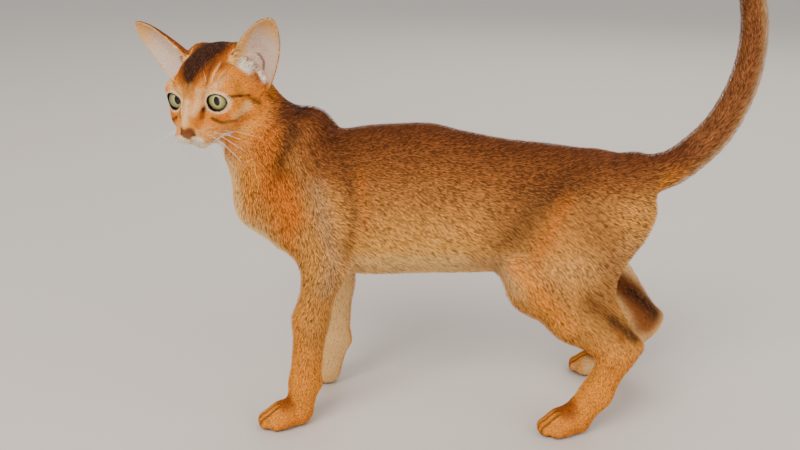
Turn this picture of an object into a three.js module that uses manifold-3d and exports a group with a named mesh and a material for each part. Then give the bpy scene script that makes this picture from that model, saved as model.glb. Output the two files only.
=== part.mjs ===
// A young Abyssinian cat standing on four feet with its tail raised, life size, in millimetres.
// It faces -X, its left side is towards -Y, and +Z is up from the floor that it stands on. Its head is
// turned to its left.
//
// The body is one smooth form: round masses named after the anatomy, melted together. It is meshed in
// regions, each as fine as its shape needs, and parted into named pieces by thin straight cuts. The ears
// are curved shells, the tail is a swept bar, and the eyes are balls in sockets.
import * as THREE from "three";
import { mergeVertices } from "three/addons/utils/BufferGeometryUtils.js";
import Module from "manifold-3d";

const wasm = await Module();
wasm.setup();

// ---------------------------------------------------------------- driving sizes

const GAP = 0.3; // between neighbouring pieces
const TICKED_FUR = 0xb07a45;
const PALE_FUR = 0xd2a066;
const DARK_FUR = 0x6e4a2c;
const NOSE_LEATHER = 0x9a5a4a;
const IRIS = 0x8d9a4e;

// The trunk, front to back: [x, top, bottom, half width].
const TRUNK = [
  [-100, 206, 162, 20],
  [-84, 226, 142, 30],
  [-57, 232, 120, 37],
  [-30, 239, 116.5, 41],
  [0, 241, 117, 43],
  [24, 241, 118, 43.5],
  [46, 235.5, 118, 42],
  [80, 229, 119.5, 39],
  [116, 225, 127, 36],
  [150, 219.5, 141, 33],
  [178, 214.5, 158, 27],
];
const TRUNK_CAP = 16; // how far the trunk's round ends reach past its first and last station
const TRUNK_TAPER = 0.12; // the trunk is narrower at the top than at the bottom by this share

// Where the limbs bend. Each foot's knuckle is over its pad, and its toe is the tip's middle.
const LIMBS = {
  left: {
    side: -1,
    scapula: [-69, -12, 237],
    shoulder: [-83, -29, 172],
    elbow: [-57, -35, 137],
    forearm: [-69, -36, 92],
    carpus: [-75.5, -35, 38],
    knuckle: [-80.5, -34, 15],
    foreToe: [-106.5, -41, 4.3],
    hip: [152, -24, 173],
    knee: [104, -38, 120],
    hock: [169, -42, 65],
    heel: [182, -43, 73],
    metatarsus: [154.5, -45, 33],
    hindKnuckle: [141, -46, 15],
    hindToe: [115.5, -51, 4.3],
  },
  right: {
    side: 1,
    scapula: [-67, 12, 235],
    shoulder: [-81, 29, 172],
    elbow: [-46, 35, 137],
    forearm: [-53, 36, 92],
    carpus: [-55.5, 33, 41],
    knuckle: [-62, 32, 17],
    foreToe: [-86, 36, 4.3],
    hip: [154, 24, 173],
    knee: [130, 37, 109],
    hock: [212, 44, 51],
    heel: [222, 45, 56],
    metatarsus: [199, 46, 30],
    hindKnuckle: [183, 46, 16],
    hindToe: [158.5, 52, 4.3],
  },
};

// The tail's centre line and radius: [x, y, z, radius].
const TAIL = [
  [186, 0, 197, 17],
  [208, 1, 203, 14.5],
  [226, 2, 216, 13.8],
  [242, 3, 233.5, 13.2],
  [252, 3, 254, 12.3],
  [257.5, 2, 274, 11.5],
  [259, 0, 296.5, 10.8],
  [256, -3, 319, 10.2],
  [249, -6, 340, 9.6],
  [238, -8, 359, 8.8],
  [223, -9, 376, 8],
  [205, -9, 389.5, 7],
  [188, -8, 398, 5.2],
];
const TAIL_SIDES = 12;

// The head's frame is midway between the eyes, x forward, y to the cat's left, z up.
const HEAD_AT = [-144.8, -10, 260.7];
const HEAD_TURN = { yaw: 61.4, pitch: 9, roll: 4.5 }; // degrees: to the left, nose down, left ear down
const HEAD_SCALE = 0.966;
const EYE = { forward: 2.6, apart: 39, radius: 9.7 }; // in the head's frame
const NOSE = { from: [21.5, -7, -24.2], to: [40, 7, -13.6] }; // the leather, in the head's frame

// An ear is a cupped sheet. Its frame is at its root: x across, y up to the tip, z out of its opening.
const EAR = {
  root: [-19.4, 26.9, 4.5],
  tip: [-15.8, 67.4, 54.5],
  opening: [1, 0.16, -0.15],
  halfWidth: 19,
  round: 2.7, // how late it narrows to the tip
  cup: 0.8, // its depth over its half width
  cupLoss: 0.4, // what that loses to the tip
  thick: 2.6,
};
// Each half's waist is the share that its width loses at the root, and bend is how late it curls up.
const EAR_OUTER = { waist: 0.45, waistTop: 0.18, bend: 2 };
const EAR_INNER = { waist: 0.6, waistTop: 0.4, bend: 2.6 };
const EAR_ROWS = 8;
const EAR_COLUMNS = 6;

// ---------------------------------------------------------------- fields
// A field is a function of a point, negative inside. Near its surface it is roughly the distance.

const vec = (a) => new THREE.Vector3(...a);
const lerp = THREE.MathUtils.lerp;
const mix = (a, b, t) => a.map((v, i) => lerp(v, b[i], t));
const plus = (a, b) => a.map((v, i) => v + b[i]);

// A round bar from a to b whose radius runs from ra to rb, with its width in y scaled.
function bar(a, b, ra, rb, widen = 1) {
  const [ax, ay, az] = [a[0], a[1] / widen, a[2]];
  const [dx, dy, dz] = [b[0] - ax, b[1] / widen - ay, b[2] - az];
  const length2 = dx * dx + dy * dy + dz * dz || 1;
  const slope = Math.min(1, Math.sqrt(widen));
  return (p) => {
    const [px, py, pz] = [p.x - ax, p.y / widen - ay, p.z - az];
    const t = Math.min(1, Math.max(0, (px * dx + py * dy + pz * dz) / length2));
    const away = Math.hypot(px - t * dx, py - t * dy, pz - t * dz);
    return (away - lerp(ra, rb, t)) * slope;
  };
}

function ball(c, r) {
  return (p) => {
    const [x, y, z] = [(p.x - c[0]) / r[0], (p.y - c[1]) / r[1], (p.z - c[2]) / r[2]];
    const k = Math.hypot(x, y, z);
    const slope = Math.hypot(x / r[0], y / r[1], z / r[2]) || 1;
    return (k * (k - 1)) / slope;
  };
}

// A smooth value along a table of stations, by its first column.
function along(table, x, column) {
  const last = table.length - 1;
  let i = 0;
  while (i < last - 1 && table[i + 1][0] < x) i++;
  const t = Math.min(1, Math.max(0, (x - table[i][0]) / (table[i + 1][0] - table[i][0])));
  const at = (k) => table[Math.min(last, Math.max(0, k))][column];
  const [p0, p1, p2, p3] = [at(i - 1), at(i), at(i + 1), at(i + 2)];
  const bend = 2 * p0 - 5 * p1 + 4 * p2 - p3;
  return p1 + 0.5 * t * (p2 - p0 + t * (bend + t * (3 * (p1 - p2) + p3 - p0)));
}

function trunk(p) {
  const [first, last] = [TRUNK[0][0], TRUNK[TRUNK.length - 1][0]];
  const x = Math.min(last, Math.max(first, p.x));
  const [top, bottom, width] = [1, 2, 3].map((column) => along(TRUNK, x, column));
  const half = (top - bottom) / 2;
  const up = (p.z - (top + bottom) / 2) / half;
  const wide = width * (1 - TRUNK_TAPER * Math.max(-1, Math.min(1, up)));
  const q = Math.hypot(p.y / wide, up, (p.x - x) / TRUNK_CAP);
  return (q - 1) * Math.min(half, wide);
}

// Melts two fields into one over a width k.
function melt(d, e, k) {
  const h = Math.max(k - Math.abs(d - e), 0) / k;
  return Math.min(d, e) - (h * h * k) / 4;
}

// The tail's stations, closer together along a smooth line.
function tailLine(steps) {
  const line = new THREE.CatmullRomCurve3(TAIL.map((a) => vec(a)));
  const spans = TAIL.length - 1;
  return Array.from({ length: spans * steps + 1 }, (_, i) => {
    const at = Math.min(spans - 1, Math.floor(i / steps));
    const radius = lerp(TAIL[at][3], TAIL[at + 1][3], i / steps - at);
    return { point: line.getPoint(i / (spans * steps)), radius };
  });
}

function tailField() {
  const stations = tailLine(2).map(({ point, radius }) => [...point.toArray(), radius]);
  const bars = stations.slice(1).map((b, i) => bar(stations[i], b, stations[i][3], b[3]));
  return (p) => Math.min(...bars.map((f) => f(p)));
}

// ---------------------------------------------------------------- the masses: [field, melt width]

function foreleg(j) {
  const blade = mix(j.scapula, j.shoulder, 0.1);
  return [
    [bar(j.scapula, j.shoulder, 13, 18, 0.6), 14],
    [bar(blade, plus(j.elbow, [6, 0, 30]), 12, 19, 0.6), 14],
    [bar(j.shoulder, j.elbow, 17, 17, 0.75), 12],
    [bar(j.elbow, j.forearm, 16.5, 14.2, 0.85), 10],
    [bar(j.forearm, j.carpus, 14.2, 12, 0.9), 8],
    [bar(j.carpus, j.knuckle, 12, 11.5, 1.05), 6],
    [bar(plus(j.carpus, [9, 0, -2]), plus(j.carpus, [8, 0, 4]), 4, 4), 5],
    ...paw(j.knuckle, j.foreToe),
  ];
}

function hindleg(j) {
  const thigh = mix(j.hip, j.knee, 0.5);
  const calf = plus(mix(j.knee, j.hock, 0.4), [13, 0, 20]);
  const shin = mix(j.knee, j.hock, 0.45);
  return [
    [bar(j.hip, mix(j.hip, j.knee, 0.75), 38, 28, 0.55), 18],
    [bar(plus(j.hip, [18, 0, 4]), plus(thigh, [16, j.side * 7, -14]), 20, 22, 0.7), 14],
    [bar(mix(j.hip, j.knee, 0.72), j.knee, 27, 20.5, 0.62), 13],
    [bar(j.knee, shin, 20.5, 18, 0.7), 12],
    [bar(shin, j.hock, 18, 12, 0.78), 12],
    [bar(calf, j.heel, 19, 6.5, 0.62), 10],
    [bar(j.heel, j.hock, 7, 11, 0.8), 6],
    [bar(j.hock, j.metatarsus, 12.8, 12, 0.9), 8],
    [bar(j.metatarsus, j.hindKnuckle, 12, 12), 6],
    ...paw(j.hindKnuckle, j.hindToe),
  ];
}

// Four arched toes under a broad knuckle, the middle two well ahead, and the pad behind them.
function paw(knuckle, toe) {
  const [forward, outward] = [toe[0] - knuckle[0], toe[1] - knuckle[1]];
  const reach = Math.hypot(forward, outward);
  const at = (ahead, aside, z) => [
    knuckle[0] + (forward * ahead - outward * aside) / reach,
    knuckle[1] + (outward * ahead + forward * aside) / reach,
    z,
  ];
  const toes = [-1.25, -0.42, 0.42, 1.25].map((place) => {
    const tip = reach * (1.15 - 0.33 * Math.abs(place));
    return [bar(at(tip - 6, place * 5.4, 8), at(tip, place * 5.8, toe[2] + 1.5), 7.6, 6.6), 2.6];
  });
  return [
    [ball(at(13, 0, 9.3), [13, 13, 11.3]), 6],
    [ball(at(1, 0, 8), [10, 10, 9]), 6],
    ...toes,
  ];
}

const NECK = [
  [bar([-60, 0, 197.5], [-90, 1, 218], 34, 31, 0.86), 14],
  [bar([-90, 1, 218.5], [-119, 13, 246], 31.5, 28), 12],
  [bar([-86, 0, 154], [-101, 0, 178], 19, 25, 1.3), 14],
  [bar([-103, 0, 182], [-115, 2, 214], 24.5, 18, 1.3), 14],
];

// The head's masses are in its own frame, and twofold where they are to one side.
const twice = (make) => [make(1), make(-1)];
const HEAD = [
  [ball([-25, 0, 7], [33, 30, 28]), 1], // skull
  [ball([-5, 0, 10], [16, 22, 17.5]), 10], // forehead
  ...twice((s) => [ball([-11, s * 20.5, -13], [20, 14, 16.5]), 10]), // jaw muscles
  ...twice((s) => [ball([-13, s * 24, 0], [16, 9.5, 15]), 9]), // temples
  ...twice((s) => [bar([7, s * 11, 11.5], [2, s * 24.5, 9.5], 5.5, 5), 8]), // brows
  ...twice((s) => [bar([1, s * 28, 5], [1, s * 27.5, -8], 4.6, 5), 9]), // outer rims of the eyes
  ...twice((s) => [ball([5.5, s * 17.5, -15], [10, 11, 9]), 8]), // cheeks
  ...twice((s) => [ball([10, s * 7.5, -10], [9, 7.5, 9]), 7]), // between cheeks and nose
  ...twice((s) => [ball([-21, s * 29, -3], [11, 8, 10]), 7]), // roots of the ears
  ...twice((s) => [ball([-26, s * 23.5, -9], [19, 11, 17]), 9]), // back corners of the jaw
  ...twice((s) => [ball([-31, s * 20, 20.5], [13, 12.5, 13]), 8]), // crown beside the ears
  [bar([7, 0, 5], [22, 0, -14.5], 9.4, 6.6), 6], // bridge of the nose
  ...twice((s) => [ball([14, s * 8.8, -23.5], [13, 10.5, 8.3]), 7]), // whisker pads
  [ball([24, 0, -19.5], [4.8, 6.6, 5]), 3], // tip of the nose
  [bar([12.5, 0, -30], [-18, 0, -21], 6.5, 15), 7], // chin and jaw
];

const degrees = THREE.MathUtils.degToRad;
const headMatrix = new THREE.Matrix4()
  .makeBasis(vec([-1, 0, 0]), vec([0, -1, 0]), vec([0, 0, 1]))
  .multiply(new THREE.Matrix4().makeRotationZ(degrees(HEAD_TURN.yaw)))
  .multiply(new THREE.Matrix4().makeRotationY(degrees(HEAD_TURN.pitch)))
  .multiply(new THREE.Matrix4().makeRotationX(degrees(HEAD_TURN.roll)))
  .scale(vec([HEAD_SCALE, HEAD_SCALE, HEAD_SCALE]))
  .setPosition(vec(HEAD_AT));
const toHead = headMatrix.clone().invert();

const headPoint = new THREE.Vector3();
function head(p) {
  const q = headPoint.copy(p).applyMatrix4(toHead);
  return HEAD.reduce((d, [f, k]) => melt(d, f(q), k), Infinity) * HEAD_SCALE;
}

const MASSES = [
  ...NECK,
  ...Object.values(LIMBS).flatMap((j) => [...foreleg(j), ...hindleg(j)]),
  [head, 12],
  [tailField(), 14],
];
const body = (p) => MASSES.reduce((d, [f, k]) => melt(d, f(p), k), trunk(p));

// ---------------------------------------------------------------- meshing
// Surface nets: one corner in each cell that the surface crosses, pulled onto it, and a quad across each
// grid edge that it crosses. A region's outside counts as empty, so its mesh is always closed.

const RING = [[0, 0], [1, 0], [1, 1], [0, 1]];

function mesh(field, low, high, cell) {
  const n = low.map((v, m) => Math.ceil((high[m] - v) / cell) + 1);
  const index = ([i, j, k]) => i + n[0] * (j + n[1] * k);
  const last = (c) => c.some((v, m) => v === n[m] - 1);
  const first = (c) => c.some((v) => v === 0);
  const p = new THREE.Vector3();
  const values = new Float32Array(n[0] * n[1] * n[2]);
  for (const c of cells(n)) {
    p.set(...c.map((v, m) => low[m] + v * cell));
    values[index(c)] = first(c) || last(c) ? cell : field(p);
  }
  settle(values, n, index, (c) => !first(c) && !last(c), cell);

  const corners = new Map();
  const positions = [];
  const cornerOf = (c) => {
    const key = index(c);
    if (corners.has(key)) return corners.get(key);
    const sum = [0, 0, 0];
    let crossings = 0;
    for (let e = 0; e < 12; e++) {
      const axis = e >> 2;
      const a = stepped(c, axis, e & 1, (e >> 1) & 1);
      const b = a.map((v, m) => v + (m === axis));
      const [u, v] = [values[index(a)], values[index(b)]];
      if (u < 0 === v < 0) continue;
      a.forEach((w, m) => (sum[m] += lerp(w, b[m], u / (u - v))));
      crossings++;
    }
    p.set(...sum.map((v, m) => low[m] + (v / crossings) * cell));
    pullOnto(field, p, cell);
    corners.set(key, positions.length / 3);
    positions.push(p.x, p.y, p.z);
    return corners.get(key);
  };
  const faces = [];
  for (const c of cells(n)) {
    if (last(c)) continue;
    for (let axis = 0; axis < 3; axis++) {
      const next = c.map((v, m) => v + (m === axis));
      const [u, v] = [values[index(c)] < 0, values[index(next)] < 0];
      if (u === v) continue;
      const [q, r, s, t] = RING.map(([g, h]) => cornerOf(stepped(c, axis, -g, -h)));
      faces.push(...(v ? [t, s, r, t, r, q] : [q, r, s, q, s, t]));
    }
  }
  return solid(new Float32Array(positions), new Uint32Array(faces));
}

function* cells(n) {
  const count = n[0] * n[1] * n[2];
  for (let c = 0; c < count; c++) {
    yield [c % n[0], Math.floor(c / n[0]) % n[1], Math.floor(c / (n[0] * n[1]))];
  }
}

// The grid point moved by s and t along the two axes that follow the given one.
function stepped(c, axis, s, t) {
  const moved = [...c];
  moved[(axis + 1) % 3] += s;
  moved[(axis + 2) % 3] += t;
  return moved;
}

// Where a grid face is crossed twice, one of its corners changes sides, so that no two sheets of the
// surface share an edge.
function settle(values, n, index, inner, cell) {
  for (let again = true; again; ) {
    again = false;
    for (const c of cells(n.map((v) => v - 1)))
      for (let axis = 0; axis < 3; axis++) {
        const face = RING.map(([s, t]) => stepped(c, axis, s, t));
        const inside = face.map((d) => values[index(d)] < 0);
        if (inside[0] !== inside[2] || inside[1] !== inside[3] || inside[0] === inside[1]) continue;
        const outer = face.find((d, m) => !inside[m] && inner(d));
        if (outer) values[index(outer)] = -1e-3 * cell;
        else values[index(face[inside[0] ? 0 : 1])] = 1e-3 * cell;
        again = true;
      }
  }
}

// Moves a point onto the field's surface, by no more than a part of a cell each time.
function pullOnto(field, p, cell) {
  const step = 0.05 * cell;
  const q = new THREE.Vector3();
  for (let round = 0; round < 3; round++) {
    const d = field(p);
    const ahead = (m) => q.copy(p).setComponent(m, p.getComponent(m) + step);
    const g = [0, 1, 2].map((m) => (field(ahead(m)) - d) / step);
    const slope2 = g[0] * g[0] + g[1] * g[1] + g[2] * g[2];
    if (slope2 < 0.05) return;
    const move = Math.max(-0.3 * cell, Math.min(0.3 * cell, d)) / slope2;
    p.set(p.x - g[0] * move, p.y - g[1] * move, p.z - g[2] * move);
  }
}

const solid = (vertProperties, triVerts) =>
  new wasm.Manifold(new wasm.Mesh({ numProp: 3, vertProperties, triVerts }));

function solidOf(geometry, matrix = new THREE.Matrix4()) {
  const bare = geometry.clone().applyMatrix4(matrix);
  bare.deleteAttribute("normal");
  bare.deleteAttribute("uv");
  const merged = mergeVertices(bare, 1e-3);
  const faces = [...merged.index.array];
  if (matrix.determinant() < 0) faces.reverse();
  return solid(merged.attributes.position.array, new Uint32Array(faces));
}

function geometryOf(made) {
  const m = made.getMesh();
  const geometry = new THREE.BufferGeometry();
  geometry.setAttribute("position", new THREE.BufferAttribute(new Float32Array(m.vertProperties), 3));
  geometry.setIndex(new THREE.BufferAttribute(new Uint32Array(m.triVerts), 1));
  geometry.computeVertexNormals();
  return geometry;
}

function sheetGeometry(positions, faces) {
  const made = new THREE.BufferGeometry();
  made.setAttribute("position", new THREE.BufferAttribute(new Float32Array(positions), 3));
  made.setIndex(faces);
  return made;
}

// ---------------------------------------------------------------- ears and tail

// Half of the ear's width, and how far its middle is behind its edges, at a share of its height.
const earTaper = (v) => EAR.halfWidth * (1 - v ** EAR.round) ** 0.62;
const earWidth = (v, half) => earTaper(v) * (1 - half.waist * Math.max(0, 1 - v / half.waistTop) ** 2);
const earCup = (v) => earTaper(v) * (EAR.cup - EAR.cupLoss * v);

function earPlace(side) {
  const root = vec([EAR.root[0], side * EAR.root[1], EAR.root[2]]);
  const up = vec([EAR.tip[0], side * EAR.tip[1], EAR.tip[2]]).sub(root);
  const y = up.clone().normalize();
  const z = vec([EAR.opening[0], side * EAR.opening[1], EAR.opening[2]]);
  z.addScaledVector(y, -z.dot(y)).normalize();
  const x = new THREE.Vector3().crossVectors(y, z);
  const matrix = headMatrix.clone().multiply(new THREE.Matrix4().makeBasis(x, y, z).setPosition(root));
  return { height: up.length(), matrix };
}

function ear(side) {
  const { height, matrix } = earPlace(side);
  const [rows, columns] = [EAR_ROWS, EAR_COLUMNS];
  const positions = [];
  for (const face of [1, -1])
    for (let r = 0; r <= rows; r++)
      for (let c = 0; c <= columns; c++) {
        const u = (2 * c) / columns - 1;
        const v = Math.sin((r / rows) * (Math.PI / 2));
        const thin = 1 - 0.55 * Math.max(Math.abs(u) ** 4, v ** 8);
        const half = u * side > 0 ? EAR_OUTER : EAR_INNER;
        const depth = (face * EAR.thick * thin) / 2 - earCup(v) * (1 - Math.abs(u) ** half.bend);
        const width = earWidth(v, half);
        positions.push(u * Math.max(width, 0.8), v * height, depth);
      }
  const at = (face, r, c) => (face < 0 ? (rows + 1) * (columns + 1) : 0) + r * (columns + 1) + c;
  const faces = [];
  const quad = (a, b, c, d) => faces.push(a, b, c, a, c, d);
  for (let r = 0; r < rows; r++) {
    for (let c = 0; c < columns; c++) {
      quad(at(1, r, c), at(1, r, c + 1), at(1, r + 1, c + 1), at(1, r + 1, c));
      quad(at(-1, r, c), at(-1, r + 1, c), at(-1, r + 1, c + 1), at(-1, r, c + 1));
    }
    quad(at(1, r, 0), at(1, r + 1, 0), at(-1, r + 1, 0), at(-1, r, 0));
    quad(at(1, r + 1, columns), at(1, r, columns), at(-1, r, columns), at(-1, r + 1, columns));
  }
  for (let c = 0; c < columns; c++) {
    quad(at(1, 0, c + 1), at(1, 0, c), at(-1, 0, c), at(-1, 0, c + 1));
    quad(at(1, rows, c), at(1, rows, c + 1), at(-1, rows, c + 1), at(-1, rows, c));
  }
  return solidOf(sheetGeometry(positions, faces), matrix);
}

// The tail, swept along its line, with a round tip.
function sweptTail() {
  const line = tailLine(1);
  const tip = line[line.length - 1];
  const before = line[line.length - 2];
  const onward = tip.point.clone().sub(before.point).normalize();
  for (const [ahead, share] of [[0.6, 0.8], [0.95, 0.3]]) {
    const point = tip.point.clone().addScaledVector(onward, ahead * tip.radius);
    line.push({ point, radius: share * tip.radius });
  }
  const positions = [];
  const faces = [];
  line.forEach(({ point, radius }, i) => {
    const a = line[Math.max(0, i - 1)].point;
    const b = line[Math.min(line.length - 1, i + 1)].point;
    const axis = b.clone().sub(a).normalize();
    const across = new THREE.Vector3().crossVectors(new THREE.Vector3(0, 1, 0), axis).normalize();
    const other = new THREE.Vector3().crossVectors(axis, across);
    for (let s = 0; s < TAIL_SIDES; s++) {
      const angle = (2 * Math.PI * s) / TAIL_SIDES;
      const p = point.clone();
      p.addScaledVector(across, radius * Math.cos(angle)).addScaledVector(other, radius * Math.sin(angle));
      positions.push(...p.toArray());
      const t = (s + 1) % TAIL_SIDES;
      const [here, above] = [i * TAIL_SIDES, (i + 1) * TAIL_SIDES];
      if (i + 1 < line.length) faces.push(here + s, here + t, above + t, here + s, above + t, above + s);
    }
  });
  const end = positions.length / 3;
  positions.push(...line[0].point.toArray(), ...line[line.length - 1].point.toArray());
  const rim = end - TAIL_SIDES;
  for (let s = 0; s < TAIL_SIDES; s++) {
    const t = (s + 1) % TAIL_SIDES;
    faces.push(end, t, s, end + 1, rim + s, rim + t);
  }
  return solidOf(sheetGeometry(positions, faces));
}

// ---------------------------------------------------------------- zones
// A zone is where planes agree: each has a point and a normal, and the zone is beyond all of them. Drawn in
// by half a gap it keeps a piece, and let out by half a gap it makes room for that piece in another.

const FAR = 900;

function halfSpace({ point, normal }, inset) {
  const n = vec(normal).normalize();
  const turn = new THREE.Quaternion().setFromUnitVectors(new THREE.Vector3(0, 0, 1), n);
  const middle = vec(point).addScaledVector(n, FAR / 2 + inset);
  const place = new THREE.Matrix4().compose(middle, turn, new THREE.Vector3(1, 1, 1));
  return solidOf(new THREE.BoxGeometry(FAR, FAR, FAR), place);
}

const within = (made, ...planes) => planes.reduce((m, one) => m.intersect(halfSpace(one, GAP / 2)), made);
const without = (made, ...planes) =>
  made.subtract(planes.map((one) => halfSpace(one, -GAP / 2)).reduce((a, b) => a.intersect(b)));
const plane = (point, normal) => ({ point, normal });

// The room that a piece needs with the gap around it.
function grown(made) {
  const shift = (axis, d) => made.translate([0, 1, 2].map((m) => (m === axis ? d : 0)));
  const shifted = [0, 1, 2].flatMap((axis) => [shift(axis, GAP), shift(axis, -GAP)]);
  return shifted.reduce((room, other) => room.add(other), made);
}

const facing = (a, b) => vec(b).sub(vec(a)).toArray();

const inHead = (point, normal) => {
  const turn = new THREE.Matrix3().setFromMatrix4(headMatrix);
  return plane(vec(point).applyMatrix4(headMatrix).toArray(), vec(normal).applyMatrix3(turn).toArray());
};

const FLOOR = plane([0, 0, GAP / -2], [0, 0, 1]);
const NECK_END = plane([-104, 0, 215], [-0.81, 0, 0.59]);
const HEAD_END = plane([-113, 8, 238], [-0.66, 0.1, 0.74]);
const FACE = inHead([-10.6, 0, 0], [1, 0, 0]);
const NOSE_SIDES = [0, 1, 2].flatMap((m) => {
  const axis = [0, 1, 2].map((v) => +(v === m));
  return [inHead(NOSE.from, axis), inHead(NOSE.to, axis.map((v) => -v))];
});
const TAIL_CUTS = [1, 4, 7, 9].map((i) => plane(TAIL[i].slice(0, 3), facing(TAIL[i - 1], TAIL[i + 1])));

const zonesOf = (j) => ({
  foreleg: [plane([0, 0, 112], [0, 0, -1]), plane([0, 0, 0], [-1, 0, 0]), plane([0, 0, 0], [0, j.side, 0])],
  forepaw: [plane(plus(j.knuckle, [6, 0, 9]), [-0.35, 0, -0.94])],
  thigh: [plane([0, j.side * 9, 112], [0, j.side * 0.93, -0.37]), plane([75, 0, 110], [0.957, 0, -0.287])],
  shank: [plane(mix(j.knee, j.hock, 0.3), facing(j.knee, j.hock)), plane([0, 0, 121], [0, 0, -1])],
  hindpaw: [plane(mix(j.metatarsus, j.hindKnuckle, 0.45), [-0.6, 0, -0.8])],
});

// ---------------------------------------------------------------- pieces

// The cell size of each region's mesh.
const CELL = { face: 4.8, nose: 2.8, skull: 9, neck: 11.5, trunk: 15, leg: 10, thigh: 13.5, paw: 5.9 };
const HEAD_LOW = [-205, -75, 190];
const HEAD_HIGH = [-70, 60, 330];
const pieces = [];
const add = (name, made, color, roughness = 0.9) => pieces.push({ name, made, color, roughness });

function addHead() {
  const region = (cell, field = body) => mesh(field, HEAD_LOW, HEAD_HIGH, cell);
  const place = (side) => {
    const shift = new THREE.Matrix4().makeTranslation(EYE.forward, (side * EYE.apart) / 2, 0);
    return headMatrix.clone().multiply(shift);
  };
  const sphere = (extra) => new THREE.SphereGeometry(EYE.radius + extra, 14, 9);
  let face = without(within(region(CELL.face), FACE, HEAD_END), ...NOSE_SIDES);
  for (const side of [1, -1]) face = face.subtract(solidOf(sphere(2 * GAP), place(side)));
  const skull = without(within(region(CELL.skull), HEAD_END), FACE);
  add("face", face, PALE_FUR);
  add("skull", skull, TICKED_FUR);
  add("nose", within(region(CELL.nose), ...NOSE_SIDES), NOSE_LEATHER, 0.5);
  const room = grown(face.add(skull));
  for (const [name, side] of [["left", 1], ["right", -1]]) {
    add(`eye_${name}`, solidOf(sphere(0), place(side)), IRIS, 0.1);
    add(`ear_${name}`, ear(side).subtract(room), TICKED_FUR);
  }
}

function addTrunk() {
  const neck = mesh(body, [-170, -70, 130], [-40, 70, 300], CELL.neck);
  add("neck", without(within(neck, NECK_END), HEAD_END), TICKED_FUR);
  let trunkPiece = without(mesh(body, [-150, -80, 70], [245, 80, 290], CELL.trunk), NECK_END);
  trunkPiece = without(trunkPiece, TAIL_CUTS[0]);
  for (const j of Object.values(LIMBS)) {
    const zones = zonesOf(j);
    trunkPiece = without(without(trunkPiece, ...zones.foreleg), ...zones.thigh);
  }
  add("trunk", trunkPiece, TICKED_FUR);
}

function addLegs(name, j) {
  const zones = zonesOf(j);
  const [low, high] = j.side < 0 ? [-80, 16] : [-16, 80];
  const region = (from, to, cell) => // from and to are in x and z
    within(mesh(body, [from[0], low, from[1]], [to[0], high, to[1]], cell), FLOOR);
  const foreleg = within(region([-135, -12], [-15, 135], CELL.leg), ...zones.foreleg);
  add(`foreleg_${name}`, without(foreleg, ...zones.forepaw), PALE_FUR);
  add(`forepaw_${name}`, within(region([-135, -12], [-20, 60], CELL.paw), ...zones.forepaw), PALE_FUR);
  const thigh = within(region([50, 40], [235, 250], CELL.thigh), ...zones.thigh);
  add(`thigh_${name}`, without(thigh, ...zones.shank), TICKED_FUR);
  const shank = within(region([80, -12], [250, 140], CELL.leg), ...zones.shank);
  add(`shank_${name}`, without(shank, ...zones.hindpaw), DARK_FUR);
  add(`hindpaw_${name}`, within(region([80, -12], [225, 60], CELL.paw), ...zones.hindpaw), PALE_FUR);
}

function addTail() {
  const whole = sweptTail();
  TAIL_CUTS.forEach((cut, i) => {
    const length = within(whole, cut);
    add(`tail_${i + 1}`, TAIL_CUTS[i + 1] ? without(length, TAIL_CUTS[i + 1]) : length, DARK_FUR);
  });
}

addHead();
addTrunk();
for (const [name, j] of Object.entries(LIMBS)) addLegs(name, j);
addTail();

const group = new THREE.Group();
for (const { name, made, color, roughness } of pieces) {
  const m = new THREE.Mesh(geometryOf(made), new THREE.MeshStandardMaterial({ color, roughness }));
  m.name = name;
  group.add(m);
}

// The origin is under the middle of the whole, on the floor.
const box = new THREE.Box3().setFromObject(group);
const middle = box.getCenter(new THREE.Vector3());
for (const m of group.children) m.geometry.translate(-middle.x, -middle.y, -box.min.z);

export default group;
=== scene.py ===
"""A young ruddy Abyssinian cat, life size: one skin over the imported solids, its coat and its eyes."""

import math

import bpy
import numpy as np
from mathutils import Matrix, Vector


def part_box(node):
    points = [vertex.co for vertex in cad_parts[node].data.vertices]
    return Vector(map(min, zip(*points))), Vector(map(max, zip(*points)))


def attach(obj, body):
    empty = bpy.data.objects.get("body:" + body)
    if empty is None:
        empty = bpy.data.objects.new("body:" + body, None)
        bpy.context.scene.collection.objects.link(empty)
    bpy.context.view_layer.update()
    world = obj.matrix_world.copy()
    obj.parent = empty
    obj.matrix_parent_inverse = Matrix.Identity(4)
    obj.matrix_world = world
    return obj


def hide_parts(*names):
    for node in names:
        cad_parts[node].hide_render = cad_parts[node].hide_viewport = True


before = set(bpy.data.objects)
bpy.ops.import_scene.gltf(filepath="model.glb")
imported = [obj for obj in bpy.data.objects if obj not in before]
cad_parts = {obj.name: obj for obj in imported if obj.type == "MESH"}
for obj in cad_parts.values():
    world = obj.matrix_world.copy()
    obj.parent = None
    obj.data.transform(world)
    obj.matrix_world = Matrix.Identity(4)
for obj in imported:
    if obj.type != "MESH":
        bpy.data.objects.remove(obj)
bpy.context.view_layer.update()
SIDES = (1, -1)  # towards +y and towards -y

# ---------------------------------------------------------------- driving sizes, in mm, as the solids have

TRUNK = np.array([  # x, top, bottom, half width
    [-100, 206, 162, 20],
    [-84, 226, 142, 30],
    [-57, 232, 120, 37],
    [-30, 239, 116.5, 41],
    [0, 241, 117, 43],
    [24, 241, 118, 43.5],
    [46, 235.5, 118, 42],
    [80, 229, 119.5, 39],
    [116, 225, 127, 36],
    [150, 219.5, 141, 33],
    [178, 214.5, 158, 27],
])
TRUNK_CAP = 16
TRUNK_TAPER = 0.12

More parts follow.
